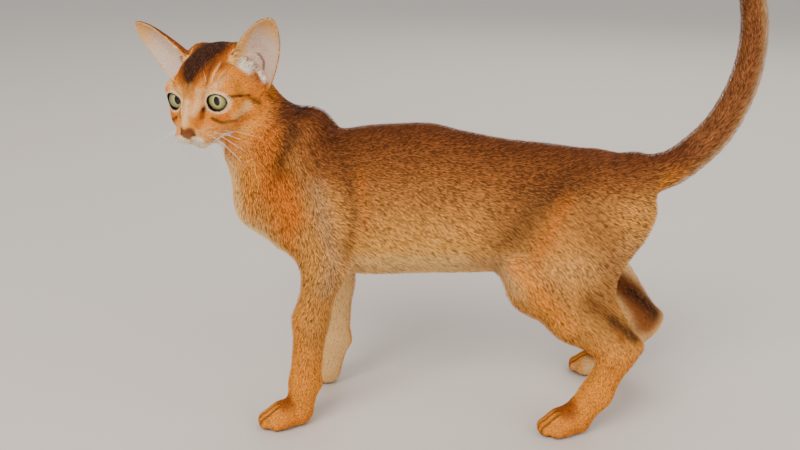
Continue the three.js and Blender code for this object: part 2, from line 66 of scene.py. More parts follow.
JOINTS = {  # of the legs: on the left and on the right
    "scapula": ((-69, -12, 237), (-67, 12, 235)),
    "shoulder": ((-83, -29, 172), (-81, 29, 172)),
    "elbow": ((-57, -35, 137), (-46, 35, 137)),
    "forearm": ((-69, -36, 92), (-53, 36, 92)),
    "carpus": ((-75.5, -35, 38), (-55.5, 33, 41)),
    "knuckle": ((-80.5, -34, 15), (-62, 32, 17)),
    "fore_toe": ((-106.5, -41, 4.3), (-86, 36, 4.3)),
    "hip": ((152, -24, 173), (154, 24, 173)),
    "knee": ((104, -38, 120), (130, 37, 109)),
    "hock": ((169, -42, 65), (212, 44, 51)),
    "heel": ((182, -43, 73), (222, 45, 56)),
    "metatarsus": ((154.5, -45, 33), (199, 46, 30)),
    "hind_knuckle": ((141, -46, 15), (183, 46, 16)),
    "hind_toe": ((115.5, -51, 4.3), (158.5, 52, 4.3)),
}
LIMBS = {
    name: {"side": side, **{joint: places[at] for joint, places in JOINTS.items()}}
    for at, (name, side) in enumerate((("left", -1), ("right", 1)))
}

TAIL = np.array([  # the centre line and the radius
    [186, 0, 197, 17],
    [208, 1, 203, 14.5],
    [226, 2, 216, 13.8],
    [242, 3, 233.5, 13.2],
    [252, 3, 254, 12.3],
    [257.5, 2, 274, 11.5],
    [259, 0, 296.5, 10.8],
    [256, -3, 319, 10.2],
    [249, -6, 340, 9.6],
    [238, -8, 359, 8.8],
    [223, -9, 376, 8],
    [205, -9, 389.5, 7],
    [188, -8, 398, 5.2],
])

# The head's frame is midway between the eyes, x forward, y to the cat's left, z up.
HEAD_AT = np.array([-144.8, -10, 260.7])
HEAD_YAW, HEAD_PITCH, HEAD_ROLL = 61.4, 9, 4.5
HEAD_SCALE = 0.966
EYE_FORWARD, EYES_APART, EYE_RADIUS = 2.6, 39, 9.7
OPENING_AZIMUTH, OPENING_WIDE, OPENING_HIGH = 13, 7.9, 6.3  # the lids' opening: outward, half sizes
GAZE_AZIMUTH, GAZE_RISE = 21, 9  # both eyes look this far to the left and up
LID_THICK, EYE_PLAY = 1.3, 0.15  # the lids over the eye balls, and the gap between them

SOLE = 0.15  # how high the soles' flats are over the floor
THIN_COAT, COAT_GAIN = 0.7, 2.0  # the coat's depth on the face and feet, and what the body's has more

EAR_ROOT, EAR_TIP, EAR_OPENING = (-19.4, 26.9, 4.5), (-15.8, 67.4, 54.5), (1, 0.16, -0.15)
EAR_HALF_WIDTH, EAR_ROUND, EAR_THICK = 19, 2.7, 1.9
EAR_CUP, EAR_CUP_LOSS = 0.8, 0.4  # the cup's depth over the half width, and what it loses to the tip
EAR_OUTER = {"waist": 0.45, "waist_top": 0.18, "bend": 2}  # the waist is the share lost at the root
EAR_INNER = {"waist": 0.6, "waist_top": 0.4, "bend": 2.6}

# ---------------------------------------------------------------- fields: negative inside


def bar(a, b, ra, rb, widen=1.0):
    """A round bar from a to b whose radius runs from ra to rb, with its width in y scaled."""
    squeeze = np.array([1, 1 / widen, 1])
    start = np.multiply(a, squeeze)
    span = np.multiply(b, squeeze) - start
    length2 = span @ span or 1.0
    slope = min(1.0, math.sqrt(widen))

    def field(p):
        q = p * squeeze - start
        t = np.clip(q @ span / length2, 0, 1)
        away = np.sqrt(((q - t[:, None] * span) ** 2).sum(1))
        return (away - (ra + (rb - ra) * t)) * slope

    return field


def ball(centre, radii):
    """A ball, or an ellipsoid where three radii are given."""
    centre = np.array(centre, float)
    radii = np.array(radii, float) * np.ones(3)

    def field(p):
        q = (p - centre) / radii
        k = np.sqrt((q**2).sum(1))
        slope = np.sqrt(((q / radii) ** 2).sum(1)) + 1e-9
        return k * (k - 1) / slope

    return field


def melt(d, e, k):
    """Melts two fields into one over a width k."""
    h = np.maximum(k - np.abs(d - e), 0) / k
    return np.minimum(d, e) - h * h * k / 4


def carve(d, e, k):
    """Takes field e out of field d, with an edge rounded over a width k."""
    return -melt(-d, e, k)


def along(table, x, column):
    """A smooth value along a table of stations, by its first column."""
    last = len(table) - 1
    i = np.clip(np.searchsorted(table[:, 0], x, side="right") - 1, 0, last - 1)
    t = np.clip((x - table[i, 0]) / (table[i + 1, 0] - table[i, 0]), 0, 1)
    p0, p1, p2, p3 = (table[np.clip(i + step, 0, last), column] for step in (-1, 0, 1, 2))
    bend = 2 * p0 - 5 * p1 + 4 * p2 - p3
    twist = 3 * (p1 - p2) + p3 - p0
    return p1 + 0.5 * t * (p2 - p0 + t * (bend + t * twist))


def trunk_place(p):
    """How far up the trunk's section each point is, from -1 to 1, and the section's sizes there."""
    x = np.clip(p[:, 0], TRUNK[0, 0], TRUNK[-1, 0])
    top, bottom, width = (along(TRUNK, x, column) for column in (1, 2, 3))
    half = (top - bottom) / 2
    up = (p[:, 2] - (top + bottom) / 2) / half
    wide = width * (1 - TRUNK_TAPER * np.clip(up, -1, 1))
    return x, up, half, wide


def trunk(p):
    """The barrel from the chest to the rump, with rounded ends."""
    x, up, half, wide = trunk_place(p)
    q = np.sqrt((p[:, 1] / wide) ** 2 + up**2 + ((p[:, 0] - x) / TRUNK_CAP) ** 2)
    return (q - 1) * np.minimum(half, wide)


def smooth_line(stations, steps):
    """A Catmull-Rom line through stations of any width, with so many steps between them."""
    ends = np.vstack([2 * stations[0] - stations[1], stations, 2 * stations[-1] - stations[-2]])
    line = []
    for i in range(len(stations) - 1):
        p0, p1, p2, p3 = ends[i : i + 4]
        bend = 2 * p0 - 5 * p1 + 4 * p2 - p3
        twist = 3 * (p1 - p2) + p3 - p0
        for t in np.arange(steps) / steps:
            line.append(0.5 * (2 * p1 + t * (p2 - p0 + t * (bend + t * twist))))
    return np.array([*line, stations[-1]])


def mix(a, b, t):
    """The place a share t of the way from a to b."""
    return np.add(a, np.subtract(b, a) * t)


# ---------------------------------------------------------------- masses: (field, melt width)


def foreleg(j):
    """From the shoulder blade down to the paw, by the leg's joints."""
    blade = mix(j["scapula"], j["shoulder"], 0.1)
    return [
        (bar(j["scapula"], j["shoulder"], 13, 18, 0.6), 14),
        (bar(blade, np.add(j["elbow"], (6, 0, 30)), 12, 19, 0.6), 14),
        (bar(j["shoulder"], j["elbow"], 17, 17, 0.75), 12),
        (bar(j["elbow"], j["forearm"], 16.5, 14.2, 0.85), 10),
        (bar(j["forearm"], j["carpus"], 14.2, 12, 0.9), 8),
        (bar(j["carpus"], j["knuckle"], 12, 11.5, 1.05), 6),
        (bar(np.add(j["carpus"], (9, 0, -2)), np.add(j["carpus"], (8, 0, 4)), 4, 4), 5),
        *paw(j["knuckle"], j["fore_toe"]),
    ]


def hindleg(j):
    """From the hip down to the paw: thigh, the fold before the knee, shank with its tendon, and hock."""
    thigh = mix(j["hip"], j["knee"], 0.5)
    calf = np.add(mix(j["knee"], j["hock"], 0.4), (13, 0, 20))
    shin = mix(j["knee"], j["hock"], 0.45)
    return [
        (bar(j["hip"], mix(j["hip"], j["knee"], 0.75), 38, 28, 0.55), 18),
        (bar(np.add(j["hip"], (18, 0, 4)), np.add(thigh, (16, j["side"] * 7, -14)), 20, 22, 0.7), 14),
        (bar(mix(j["hip"], j["knee"], 0.72), j["knee"], 27, 20.5, 0.62), 13),
        (bar(np.add(j["knee"], (-4, 0, 6)), np.add(j["knee"], (-34, -j["side"] * 8, 22)), 13, 8, 0.7), 12),
        (bar(j["knee"], shin, 20.5, 18, 0.7), 12),
        (bar(shin, j["hock"], 18, 12, 0.78), 12),
        (bar(calf, j["heel"], 19, 6.5, 0.62), 10),
        (bar(j["heel"], j["hock"], 7, 11, 0.8), 6),
        (bar(j["hock"], j["metatarsus"], 12.8, 12, 0.9), 8),
        (bar(j["metatarsus"], j["hind_knuckle"], 12, 12), 6),
        *paw(j["hind_knuckle"], j["hind_toe"]),
    ]


TOE_PLACES = (-1.25, -0.42, 0.42, 1.25)  # across the paw, in toe widths


def paw(knuckle, toe):
    """Four arched toes under a broad knuckle, the middle two well ahead, and the pad behind them."""
    forward, outward = toe[0] - knuckle[0], toe[1] - knuckle[1]
    reach = math.hypot(forward, outward)

    def at(ahead, aside, z):
        x = knuckle[0] + (forward * ahead - outward * aside) / reach
        y = knuckle[1] + (outward * ahead + forward * aside) / reach
        return (x, y, z)

    toes = []
    for place in TOE_PLACES:
        tip = reach * (1.15 - 0.33 * abs(place))
        arch = at(tip - 6, place * 5.4, 8)
        end = at(tip, place * 5.8, toe[2] + 1.5)
        toes.append((bar(arch, end, 7.6, 6.6), 2.6))
    return [
        (ball(at(13, 0, 9.3), (13, 13, 11.3)), 6),
        (ball(at(1, 0, 8), (10, 10, 9)), 6),
        *toes,
    ]


NECK = [
    (bar((-60, 0, 197.5), (-90, 1, 218), 34, 31, 0.86), 14),
    (bar((-90, 1, 218.5), (-119, 13, 246), 31.5, 28), 12),
    (bar((-86, 0, 154), (-101, 0, 178), 19, 25, 1.3), 14),
    (bar((-103, 0, 182), (-115, 2, 214), 24.5, 18, 1.3), 14),
]

def both(centre, radii, melt_width):
    """The same ball on both sides of the head."""
    x, y, z = centre
    return [(ball((x, side * y, z), radii), melt_width) for side in SIDES]


HEAD = [
    (ball((-25, 0, 7), (33, 30, 28)), 1),  # skull
    (ball((-5, 0, 10), (16, 22, 17.5)), 10),  # forehead
    *both((-11, 20.5, -13), (20, 14, 16.5), 10),  # jaw muscles
    *both((-13, 24, 0), (16, 9.5, 15), 9),  # temples
    *[(bar((7, s * 11, 11.5), (2, s * 24.5, 9.5), 5.5, 5), 8) for s in SIDES],  # brows
    *[(bar((1, s * 28, 5), (1, s * 27.5, -8), 4.6, 5), 9) for s in SIDES],  # outer rims of the eyes
    *both((5.5, 17.5, -15), (10, 11, 9), 8),  # cheeks
    *both((10, 7.5, -10), (9, 7.5, 9), 7),  # between cheeks and nose
    *both((-21, 29, -3), (11, 8, 10), 7),  # roots of the ears
    *both((-26, 23.5, -9), (19, 11, 17), 9),  # back corners of the jaw
    *both((-31, 20, 20.5), (13, 12.5, 13), 8),  # crown beside the ears
    (bar((7, 0, 5), (22, 0, -14.5), 9.4, 6.6), 6),  # bridge of the nose
    *both((14, 8.8, -23.5), (13, 10.5, 8.3), 7),  # whisker pads
    (ball((24, 0, -19.5), (4.8, 6.6, 5)), 3),  # tip of the nose
    (bar((12.5, 0, -30), (-18, 0, -21), 6.5, 15), 7),  # chin and jaw
]


def turn(axis, degrees):
    """The matrix of a turn about one of the three axes."""
    c, s = math.cos(math.radians(degrees)), math.sin(math.radians(degrees))
    i, j = (axis + 1) % 3, (axis + 2) % 3
    made = np.eye(3)
    made[i, i], made[i, j], made[j, i], made[j, j] = c, -s, s, c
    return made


HEAD_AXES = np.diag([-1.0, -1, 1]) @ turn(2, HEAD_YAW) @ turn(1, HEAD_PITCH) @ turn(0, HEAD_ROLL)


def to_head(p):
    """Places in the head's frame, from the making frame's."""
    return (p - HEAD_AT) @ HEAD_AXES / HEAD_SCALE


def from_head(q):
    """Places in the making frame, from the head's."""
    return np.asarray(q, float) * HEAD_SCALE @ HEAD_AXES.T + HEAD_AT


LEGS = [mass for joints in LIMBS.values() for make in (foreleg, hindleg) for mass in make(joints)]
TAIL_LINE = smooth_line(TAIL.astype(float), 2)
TAIL_BARS = [(bar(a[:3], b[:3], a[3], b[3]), 0.1) for a, b in zip(TAIL_LINE, TAIL_LINE[1:])]

BLOCK = 10.0
BLOCK_REACH = BLOCK * math.sqrt(3)


def by_block(p):
    """The points' order by block, the blocks' middles, and where each block's points start."""
    key = np.floor(p / BLOCK).astype(np.int64)
    code = (key[:, 0] + 500) * 1000000 + (key[:, 1] + 500) * 1000 + key[:, 2] + 500
    order = np.argsort(code, kind="stable")
    first = np.flatnonzero(np.diff(code[order], prepend=-1))
    return order, (key[order[first]] + 0.5) * BLOCK, [*first, len(p)]


def melted(masses, p):
    """The masses melted together, each left out of the blocks of points that are far from it."""
    if not len(p):
        return np.zeros(0)
    order, middles, starts = by_block(p)
    widths = np.array([k for _, k in masses])[:, None]
    reach = np.stack([f(middles) for f, _ in masses])
    near = reach < reach.min(0) + widths + BLOCK_REACH + 8
    out = np.empty(len(p))
    for block, (start, stop) in enumerate(zip(starts, starts[1:])):
        chosen = order[start:stop]
        here = p[chosen]
        d = np.full(len(here), 1e3)
        for m in np.flatnonzero(near[:, block]):
            f, k = masses[m]
            d = melt(d, f(here), k)
        out[chosen] = d
    return out


BODY = [(trunk, 1), *NECK, *LEGS]
HEAD_REACH = 105  # the head and the ears lie within this of the head's middle
TAIL_FROM = 150  # the tail melts into what lies behind this


def near_head(p):
    """Which points may be on the head."""
    return ((p - HEAD_AT) ** 2).sum(1) < HEAD_REACH**2


def body(p):
    """The whole cat out to its coat's tips, without ears, lids or folds."""
    d = melted(BODY, p)
    near = near_head(p)
    d[near] = melt(d[near], melted(HEAD, to_head(p[near])) * HEAD_SCALE, 12)
    near = p[:, 0] > TAIL_FROM
    d[near] = melt(d[near], melted(TAIL_BARS, p[near]), 14)
    return d


# ---------------------------------------------------------------- the skin's own forms


def unit(v):
    """Directions of length 1."""
    v = np.asarray(v, float)
    return v / np.linalg.norm(v, axis=-1, keepdims=True)


def smooth(low, high, x):
    """A smooth step from 0 at low to 1 at high, which may be the smaller of the two."""
    t = np.clip((x - low) / (high - low), 0, 1)
    return t * t * (3 - 2 * t)


def folded(p):
    """Points laid over onto the positive side of y, where one drawing serves both sides."""
    return p * (1, 0, 1) + np.abs(p) * (0, 1, 0)


def ear_axes(side):
    """An ear's root, its axes (across, up, and out of its opening) and its height, in the head's frame."""
    mirror = np.array([1, side, 1])
    root = EAR_ROOT * mirror
    up = EAR_TIP * mirror - root
    y = unit(up)
    z = EAR_OPENING * mirror
    z = unit(z - (z @ y) * y)
    return root, np.stack([np.cross(y, z), y, z], 1), np.linalg.norm(up)


def ear_taper(v):
    """The half width up the ear, without its waist."""
    return EAR_HALF_WIDTH * (1 - np.clip(v, 0, 0.9995) ** EAR_ROUND) ** 0.62


def ear_cup(v, outer):
    """The cup's depth up the ear, and the power that it bends by towards each edge."""
    depth = ear_taper(np.clip(v, 0, 1)) * (EAR_CUP - EAR_CUP_LOSS * v)
    return depth, np.where(outer, EAR_OUTER["bend"], EAR_INNER["bend"])


def ear_width(v, outer):
    """The half width up the ear, towards its outer or its inner edge."""
    halves = [
        1 - half["waist"] * np.maximum(0, 1 - np.maximum(v, 0) / half["waist_top"]) ** 2
        for half in (EAR_OUTER, EAR_INNER)
    ]
    return np.maximum(ear_taper(v) * np.where(outer, *halves), 0.8)


def ear(side):
    """A cupped sheet, in the head's frame."""
    root, axes, height = ear_axes(side)

    def field(q):
        x, y, z = ((q - root) @ axes).T
        v = np.clip(y / height, 0, 1)
        outer = x * side > 0
        width = ear_width(v, outer)
        u = np.clip(np.abs(x) / width, 0, 1.3)
        cup, bend = ear_cup(v, outer)
        steep = 1 / np.sqrt(1 + (bend * cup * np.minimum(u, 1) ** (bend - 1) / width) ** 2)
        thick = EAR_THICK * (1 - 0.3 * u**4)
        sheet = np.abs(z + cup * (1 - u**bend)) * steep - thick / 2
        narrowing = (ear_width(v + 0.01, outer) - ear_width(v - 0.01, outer)) / (0.02 * height)
        rim = (np.abs(x) - width + 0.5) / np.sqrt(1 + narrowing**2)
        ends = np.maximum(y - height, -10 - y)
        return -melt(melt(-sheet, -rim, 1.5), -ends, 1)

    return field


EARS = [ear(side) for side in SIDES]


def eye_axes(side, azimuth, rise):
    """The axes of an eye in the head's frame: outward across, up, and out along its look."""
    a, e = math.radians(azimuth), math.radians(rise)
    look = np.array([math.cos(e) * math.cos(a), math.cos(e) * math.sin(a), math.sin(e)])
    across = unit(np.cross((0, 0, 1), look)) * side
    return np.stack([across, np.cross(look, across) * side, look], 1)


def eye_centre(side):
    """An eye ball's middle, in the head's frame."""
    return np.array([EYE_FORWARD, side * EYES_APART / 2, 0])


def in_opening(side, q, spare=0):
    """Where points are on the lids' opening, 1 at its edge, and how far they are towards its front."""
    u, v, w = ((q - eye_centre(side)) @ eye_axes(side, side * OPENING_AZIMUTH, 0)).T
    return np.sqrt((u / (OPENING_WIDE + spare)) ** 2 + (v / (OPENING_HIGH + spare)) ** 2), w


def lids(d, q):
    """Lids lie over each eye ball, with an opening in them."""
    for side in SIDES:
        d = melt(d, ball(eye_centre(side), EYE_RADIUS + LID_THICK)(q), 2.5)
    for side in SIDES:
        share, ahead = in_opening(side, q, -0.3)
        d = carve(d, np.maximum((share - 1) * OPENING_HIGH, 2 - ahead), 1.0)
        d = carve(d, ball(eye_centre(side), EYE_RADIUS + EYE_PLAY)(q), 0.3)
    return d


def polyline(points, radius):
    """Round bars in a row, as one field."""
    bars = [bar(a, b, radius, radius) for a, b in zip(points, points[1:])]
    return lambda q: np.min([f(q) for f in bars], 0)


def near_line(q, line):
    """How far points are from a line."""
    return polyline(line, 0)(q)


MOUTH = [(28, 0, -28.6), (25.5, 5, -30.8), (20, 11.5, -30.2), (12, 17.5, -28.6), (3, 22.5, -27)]
NOSTRIL = [(28.6, 3.2, -20.9), (27, 5.6, -20.2), (24.6, 6.9, -21.4)]
PHILTRUM = [(30, 0, -20.5), (29.5, 0, -24), (28.6, 0, -29)]
FACE_GROOVES = [  # each one's field, and the width that its edge is rounded over
    *[(polyline(np.multiply(MOUTH, (1, side, 1)), 0.75), 1.6) for side in SIDES],
    *[(polyline(np.multiply(NOSTRIL, (1, side, 1)), 1.05), 0.8) for side in SIDES],
    (polyline(PHILTRUM, 0.5), 0.8),
]


def grooves(d, q):
    """The mouth's line, the nostrils and the groove under the nose."""
    near = (q[:, 0] > 0) & (q[:, 2] < -15)
    e = d[near]
    for groove, width in FACE_GROOVES:
        e = carve(e, groove(q[near]), width)
    d[near] = e
    return d


def skin(p):
    """The skin's surface, inside the solids by the coat's depth."""
    d = body(p) + coat_depth(p)
    near = near_head(p)
    q = to_head(p[near])
    e = d[near] / HEAD_SCALE
    for sheet in EARS:
        e = melt(e, sheet(q), 4)
    e = lids(grooves(e, q), q)
    d[near] = e * HEAD_SCALE
    return np.maximum(d, SOLE - p[:, 2])


def coat_depth(p):
    """How deep the coat is over the skin: thin on the feet and the face, and full on the body."""
    deep = COAT_GAIN * smooth(20, 110, p[:, 2]) + THIN_COAT
    face = 1 - smooth(45, 75, np.sqrt(((p - HEAD_AT) ** 2).sum(1)))
    return deep * (1 - face) + THIN_COAT * face


# ---------------------------------------------------------------- the skin's mesh


def grid_line(*spans):
    """Grid places along an axis: (end, cell) for each span after the start."""
    places = [spans[0]]
    for end, cell in spans[1:]:
        count = max(1, round((end - places[-1]) / cell))
        places.extend(np.linspace(places[-1], end, count + 1)[1:])
    return np.array(places)


GRID = (
    grid_line(-206, (-180, 1.1), (-112, 0.75), (-84, 1.2), (120, 2.4), (240, 1.9), (274, 2.4)),
    grid_line(-70, (-38, 1.5), (20, 0.85), (40, 1.2), (66, 1.5)),
    grid_line(-2.0, (26, 1.1), (180, 2.4), (222, 1.8), (290, 0.8), (324, 1.1), (406, 2.2)),
)
CHUNK = 8  # cells of the grid


def grid_place(index):
    """Where points of the grid are, by their three indices."""
    return np.stack([GRID[axis][index[:, axis]] for axis in range(3)], 1)


def sampled():
    """The skin's field on the grid. Chunks of the grid that the skin doesn't reach only get its sign."""
    counts = np.array([len(line) for line in GRID])
    values = np.full(counts, 50.0, np.float32)
    wanted = np.zeros(counts, bool)
    corners = np.argwhere(np.ones(np.ceil((counts - 1) / CHUNK).astype(int), bool)) * CHUNK
    low, high = grid_place(corners), grid_place(np.minimum(corners + CHUNK, counts - 1))
    middle = skin((low + high) / 2)
    reach = np.linalg.norm(high - low, axis=1) / 2 * 1.25 + 3
    for corner, value, near in zip(corners, middle, np.abs(middle) < reach):
        chunk = tuple(slice(first, first + CHUNK + 1) for first in corner)
        if near:
            wanted[chunk] = True
        else:
            values[chunk] = value
    values[wanted] = skin(grid_place(np.argwhere(wanted)))
    return values


def shifted(cells, axis, s, t):
    """Cells moved by s and t along the two axes after the given one."""
    moved = cells.copy()
    moved[:, (axis + 1) % 3] += s
    moved[:, (axis + 2) % 3] += t
    return moved


def crossing_points(values, cell):
    """A point for each cell: the middle of where the surface crosses the cell's edges."""
    total = np.zeros((len(cell), 3))
    crossings = np.zeros(len(cell))
    for axis in range(3):
        for s, t in np.ndindex(2, 2):
            a = shifted(cell, axis, s, t)
            b = a.copy()
            b[:, axis] += 1
            va, vb = values[tuple(a.T)], values[tuple(b.T)]
            crossed = (va < 0) != (vb < 0)
            share = np.where(crossed, va / np.where(crossed, va - vb, 1), 0)[:, None]
            place = grid_place(a) * (1 - share) + grid_place(b) * share
            total += np.where(crossed[:, None], place, 0)
            crossings += crossed
    return total / crossings[:, None]


def crossing_faces(inside, index):
    """A quad across each edge of the grid that the surface crosses, turned outwards."""
    faces = []
    for axis in range(3):
        edge = [slice(1, n - 1) for n in inside.shape]
        edge[axis] = slice(0, inside.shape[axis] - 1)
        ahead = list(edge)
        ahead[axis] = slice(1, inside.shape[axis])
        at = np.argwhere(inside[tuple(edge)] != inside[tuple(ahead)])
        at += [part.start for part in edge]
        ring = [index[tuple(shifted(at, axis, -s, -t).T)] for s, t in ((0, 0), (1, 0), (1, 1), (0, 1))]
        quad = np.stack(ring, 1)
        outward = inside[tuple(at.T)]
        quad[~outward] = quad[~outward][:, ::-1]
        faces.append(quad)
    return np.concatenate(faces)


def surface_net(values):
    """The points and quads of the surface where the values pass through 0."""
    inside = values < 0
    cells = tuple(n - 1 for n in values.shape)
    count = np.zeros(cells, np.uint8)
    for i, j, k in np.ndindex(2, 2, 2):
        count += inside[i : i + cells[0], j : j + cells[1], k : k + cells[2]]
    active = (count > 0) & (count < 8)
    cell = np.argwhere(active)
    index = np.full(cells, -1)
    index[active] = np.arange(len(cell))
    return crossing_points(values, cell), crossing_faces(inside, index)


def pulled(points):
    """Moves points onto the skin's surface, in two rounds."""
    step = 0.08
    for _ in range(2):
        d = skin(points)
        slope = np.stack([skin(points + step * axis) - d for axis in np.eye(3)], 1) / step
        steep = np.maximum((slope**2).sum(1), 0.2)
        points = points - slope * (np.clip(d, -0.6, 0.6) / steep)[:, None]
    return points


# ---------------------------------------------------------------- the lie of the coat

# Places that the coat is combed from, on the left or the middle: place, direction, tuft length.
HEAD_LIE = [
    ((27, 0, -14), (-0.5, 0, 1), 1.5),
    ((17, 0, 3), (-0.45, 0, 1), 1.9),
    ((9, 0, 19), (-0.8, 0, 0.9), 2.4),
    ((-20, 0, 35), (-1, 0, 0.1), 3.4),
    ((-50, 0, 18), (-0.5, 0, -1), 5),
    ((25, 7, -25), (-0.8, 0.9, -0.3), 1.6),
    ((20, 9, -8), (-0.55, 0.9, 0.2), 1.6),
    ((14, 18, -13), (-0.8, 0.7, -0.2), 2),
    ((10, 25, -22), (-1, 0.5, -0.4), 2.8),
    ((5, 30, -14), (-1, 0.35, -0.35), 2.8),
    ((11, 17, 11), (-0.5, 0.2, 1), 2),
    ((3, 30, 11), (-0.9, 0.3, 0.5), 2.4),
    ((-14, 37, -3), (-1, 0.1, 0.1), 3),
    ((-8, 35, -18), (-1, 0.1, -0.6), 4.2),
    ((-30, 33, -16), (-0.7, 0, -1), 6),
    ((17, 6, -35), (-1, 0.3, -0.4), 2.4),
    ((-5, 12, -37), (-1, 0.15, -0.6), 5),
    ((-14, 20, 29), (-0.9, 0.4, 0.5), 2.8),
]
FRONT_LIE = [
    ((-76, 0, 247), (1, 0, -0.3), 5),
    ((-100, 20, 238), (0.7, 0, -1), 5),
    ((-94, 32, 208), (0.55, 0, -1), 5.2),
    ((-122, 5, 208), (0.12, 0, -1), 8),
    ((-117, 0, 175), (0.25, 0, -1), 10),
    ((-92, 0, 146), (1, 0, -0.6), 9),
    ((-60, 0, 120), (1, 0, -0.15), 8),
]
# The trunk's coat around its section: how far up, its direction, and the tuft length.
TRUNK_LIE = [
    (1, (1, 0, 0), 5),
    (0.6, (1, 0, -0.35), 5),
    (0, (1, 0, -0.5), 5.2),
    (-0.6, (1, 0, -0.3), 6),
    (-1, (1, 0, -0.15), 9),
]
# Each stretch of a limb: its two ends, the coat's direction or None for its own, and the tuft length.
LIMB_LIE = [
    ("scapula", "shoulder", (0.5, 0, -1), 5.2),
    ("shoulder", "elbow", (0.4, 0, -1), 5),
    ("elbow", "forearm", None, 4.4),
    ("forearm", "carpus", None, 3.6),
    ("carpus", "knuckle", None, 2.8),
    ("knuckle", "fore_toe", None, 2),
    ("hip", "knee", (0.55, 0, -1), 5.4),
    ("knee", "hock", None, 4.6),
    ("hock", "metatarsus", None, 3.4),
    ("metatarsus", "hind_knuckle", None, 2.8),
    ("hind_knuckle", "hind_toe", None, 2.2),
]
TAIL_TUFT = 6


TRUNK_STATIONS = range(-45, 190, 30)
SOFT_HEAD, SOFT_NECK, SOFT_TRUNK, SOFT_LIMB = 7, 12, 14, 8  # how far around a place's lie is blended


def on_sides(place, direction):
    """A place with its direction, on both sides, or once where it is on the middle line."""
    (x, y, z), (dx, dy, dz) = place, direction
    return [((x, side * y, z), (dx, side * dy, dz)) for side in (SIDES if y else (1,))]


def trunk_region(up, side):
    if abs(up) > 0.5:
        return "back" if up > 0 else "belly"
    return "flank_right" if side > 0 else "flank_left"


def combed():
    """All the places that the coat is combed from: region, place, direction, tuft length, softness."""
    rows = []
    for place, direction, length in HEAD_LIE:
        region = "face" if place[0] > -9 else "crown"
        for at, lie in on_sides(place, direction):
            rows.append((region, from_head(at), HEAD_AXES @ lie, length, SOFT_HEAD))
    for place, direction, length in FRONT_LIE:
        for at, _ in on_sides(place, direction):
            rows.append(("neck", at, direction, length, SOFT_NECK))
    for x in TRUNK_STATIONS:
        top, bottom, width = (along(TRUNK, np.array([x]), column)[0] for column in (1, 2, 3))
        for up, direction, length in TRUNK_LIE:
            place = (x, width * math.sqrt(1 - up * up), (top + bottom) / 2 + up * (top - bottom) / 2)
            for at, _ in on_sides(place, direction):
                rows.append((trunk_region(up, at[1]), at, direction, length, SOFT_TRUNK))
    for name, j in LIMBS.items():
        for a, b, direction, length in LIMB_LIE:
            start, end = np.array(j[a]), np.array(j[b])
            lie = end - start if direction is None else direction
            leg = "foreleg" if start[0] < 0 else "hindleg"
            for t in (0.15, 0.5, 0.85):
                rows.append((f"{leg}_{name}", start + (end - start) * t, lie, length, SOFT_LIMB))
    for a, b in zip(TAIL_LINE[2:], TAIL_LINE[3:]):
        rows.append(("tail", (a + b)[:3] / 2, (b - a)[:3], TAIL_TUFT, SOFT_LIMB))
    return rows


regions, places, directions, lengths, softness = zip(*combed())
REGION_NAMES = sorted(set(regions))
COMBED_REGION = np.array([REGION_NAMES.index(region) for region in regions])
COMBED_AT = np.array(places, float)
COMBED_LIE = unit(directions)
COMBED_LENGTH = np.array(lengths, float)
COMBED_SOFT = np.array(softness, float)


def comb(p):
    """The coat's region, direction and tuft length at each point."""
    step = 20000  # points at a time
    made = []
    for start in range(0, len(p), step):
        away = ((p[start : start + step, None] - COMBED_AT) ** 2).sum(2)
        pull = 1 / (away + COMBED_SOFT**2) ** 2.5
        pull /= pull.sum(1, keepdims=True)
        made.append((COMBED_REGION[away.argmin(1)], pull @ COMBED_LIE, pull @ COMBED_LENGTH))
    return [np.concatenate(column) for column in zip(*made)]


def ear_place(side, q):
    """Where points in the head's frame are on an ear: across and up as shares, height over the sheet."""
    root, axes, height = ear_axes(side)
    x, y, z = ((q - root) @ axes).T
    v = y / height
    outer = x * side > 0
    u = x / ear_width(v, outer)
    cup, bend = ear_cup(v, outer)
    return u, v, z + cup * (1 - np.clip(np.abs(u), 0, 1) ** bend)


def on_ear(side, q):
    """How surely points are on an ear, and where on it they are, across and up."""
    u, v, over = ear_place(side, q)
    here = (np.abs(u) < 1.25) & (v > 0.05) & (v < 1.1) & (np.abs(over) < 3.5)
    return here * smooth(0.1, 0.22, v), u, v


# ---------------------------------------------------------------- markings


def rgb(red, green, blue):
    """A linear colour from an 8-bit one."""
    c = np.array([red, green, blue]) / 255
    return np.where(c <= 0.04045, c / 12.92, ((c + 0.055) / 1.055) ** 2.4)


BLACK = rgb(30, 22, 20)
UMBER = rgb(54, 32, 22)
SABLE = rgb(92, 50, 26)
RUSSET = rgb(140, 70, 24)
RUST = rgb(196, 102, 26)
AMBER = rgb(226, 136, 46)
GOLD = rgb(238, 174, 88)
FAWN = rgb(196, 132, 62)
ASH = rgb(176, 136, 92)
SAND = rgb(238, 184, 120)
APRICOT = rgb(246, 202, 144)
CREAM = rgb(255, 238, 212)
LILAC = rgb(232, 204, 184)
BRICK = rgb(108, 56, 38)
MAUVE = rgb(110, 68, 66)
SPECTACLES = rgb(250, 220, 178)
HONEY = rgb(252, 206, 140)
STRAW = rgb(255, 206, 140)
BUFF = rgb(255, 202, 134)
COCOA = rgb(132, 80, 44)
TOAST = rgb(190, 144, 94)
HAZEL = rgb(152, 100, 52)

# Up the trunk: how far up, the colour, and how much of the coat is ticked with dark tips.
TRUNK_COLOURS = [
    (-1, rgb(255, 216, 152), 0),
    (-0.8, STRAW, 0.2),
    (-0.45, rgb(230, 162, 82), 0.5),
    (0.1, rgb(184, 122, 60), 0.8),
    (0.5, rgb(146, 88, 42), 0.85),
    (0.85, rgb(112, 62, 30), 0.85),
    (1, rgb(88, 46, 24), 0.8),
]

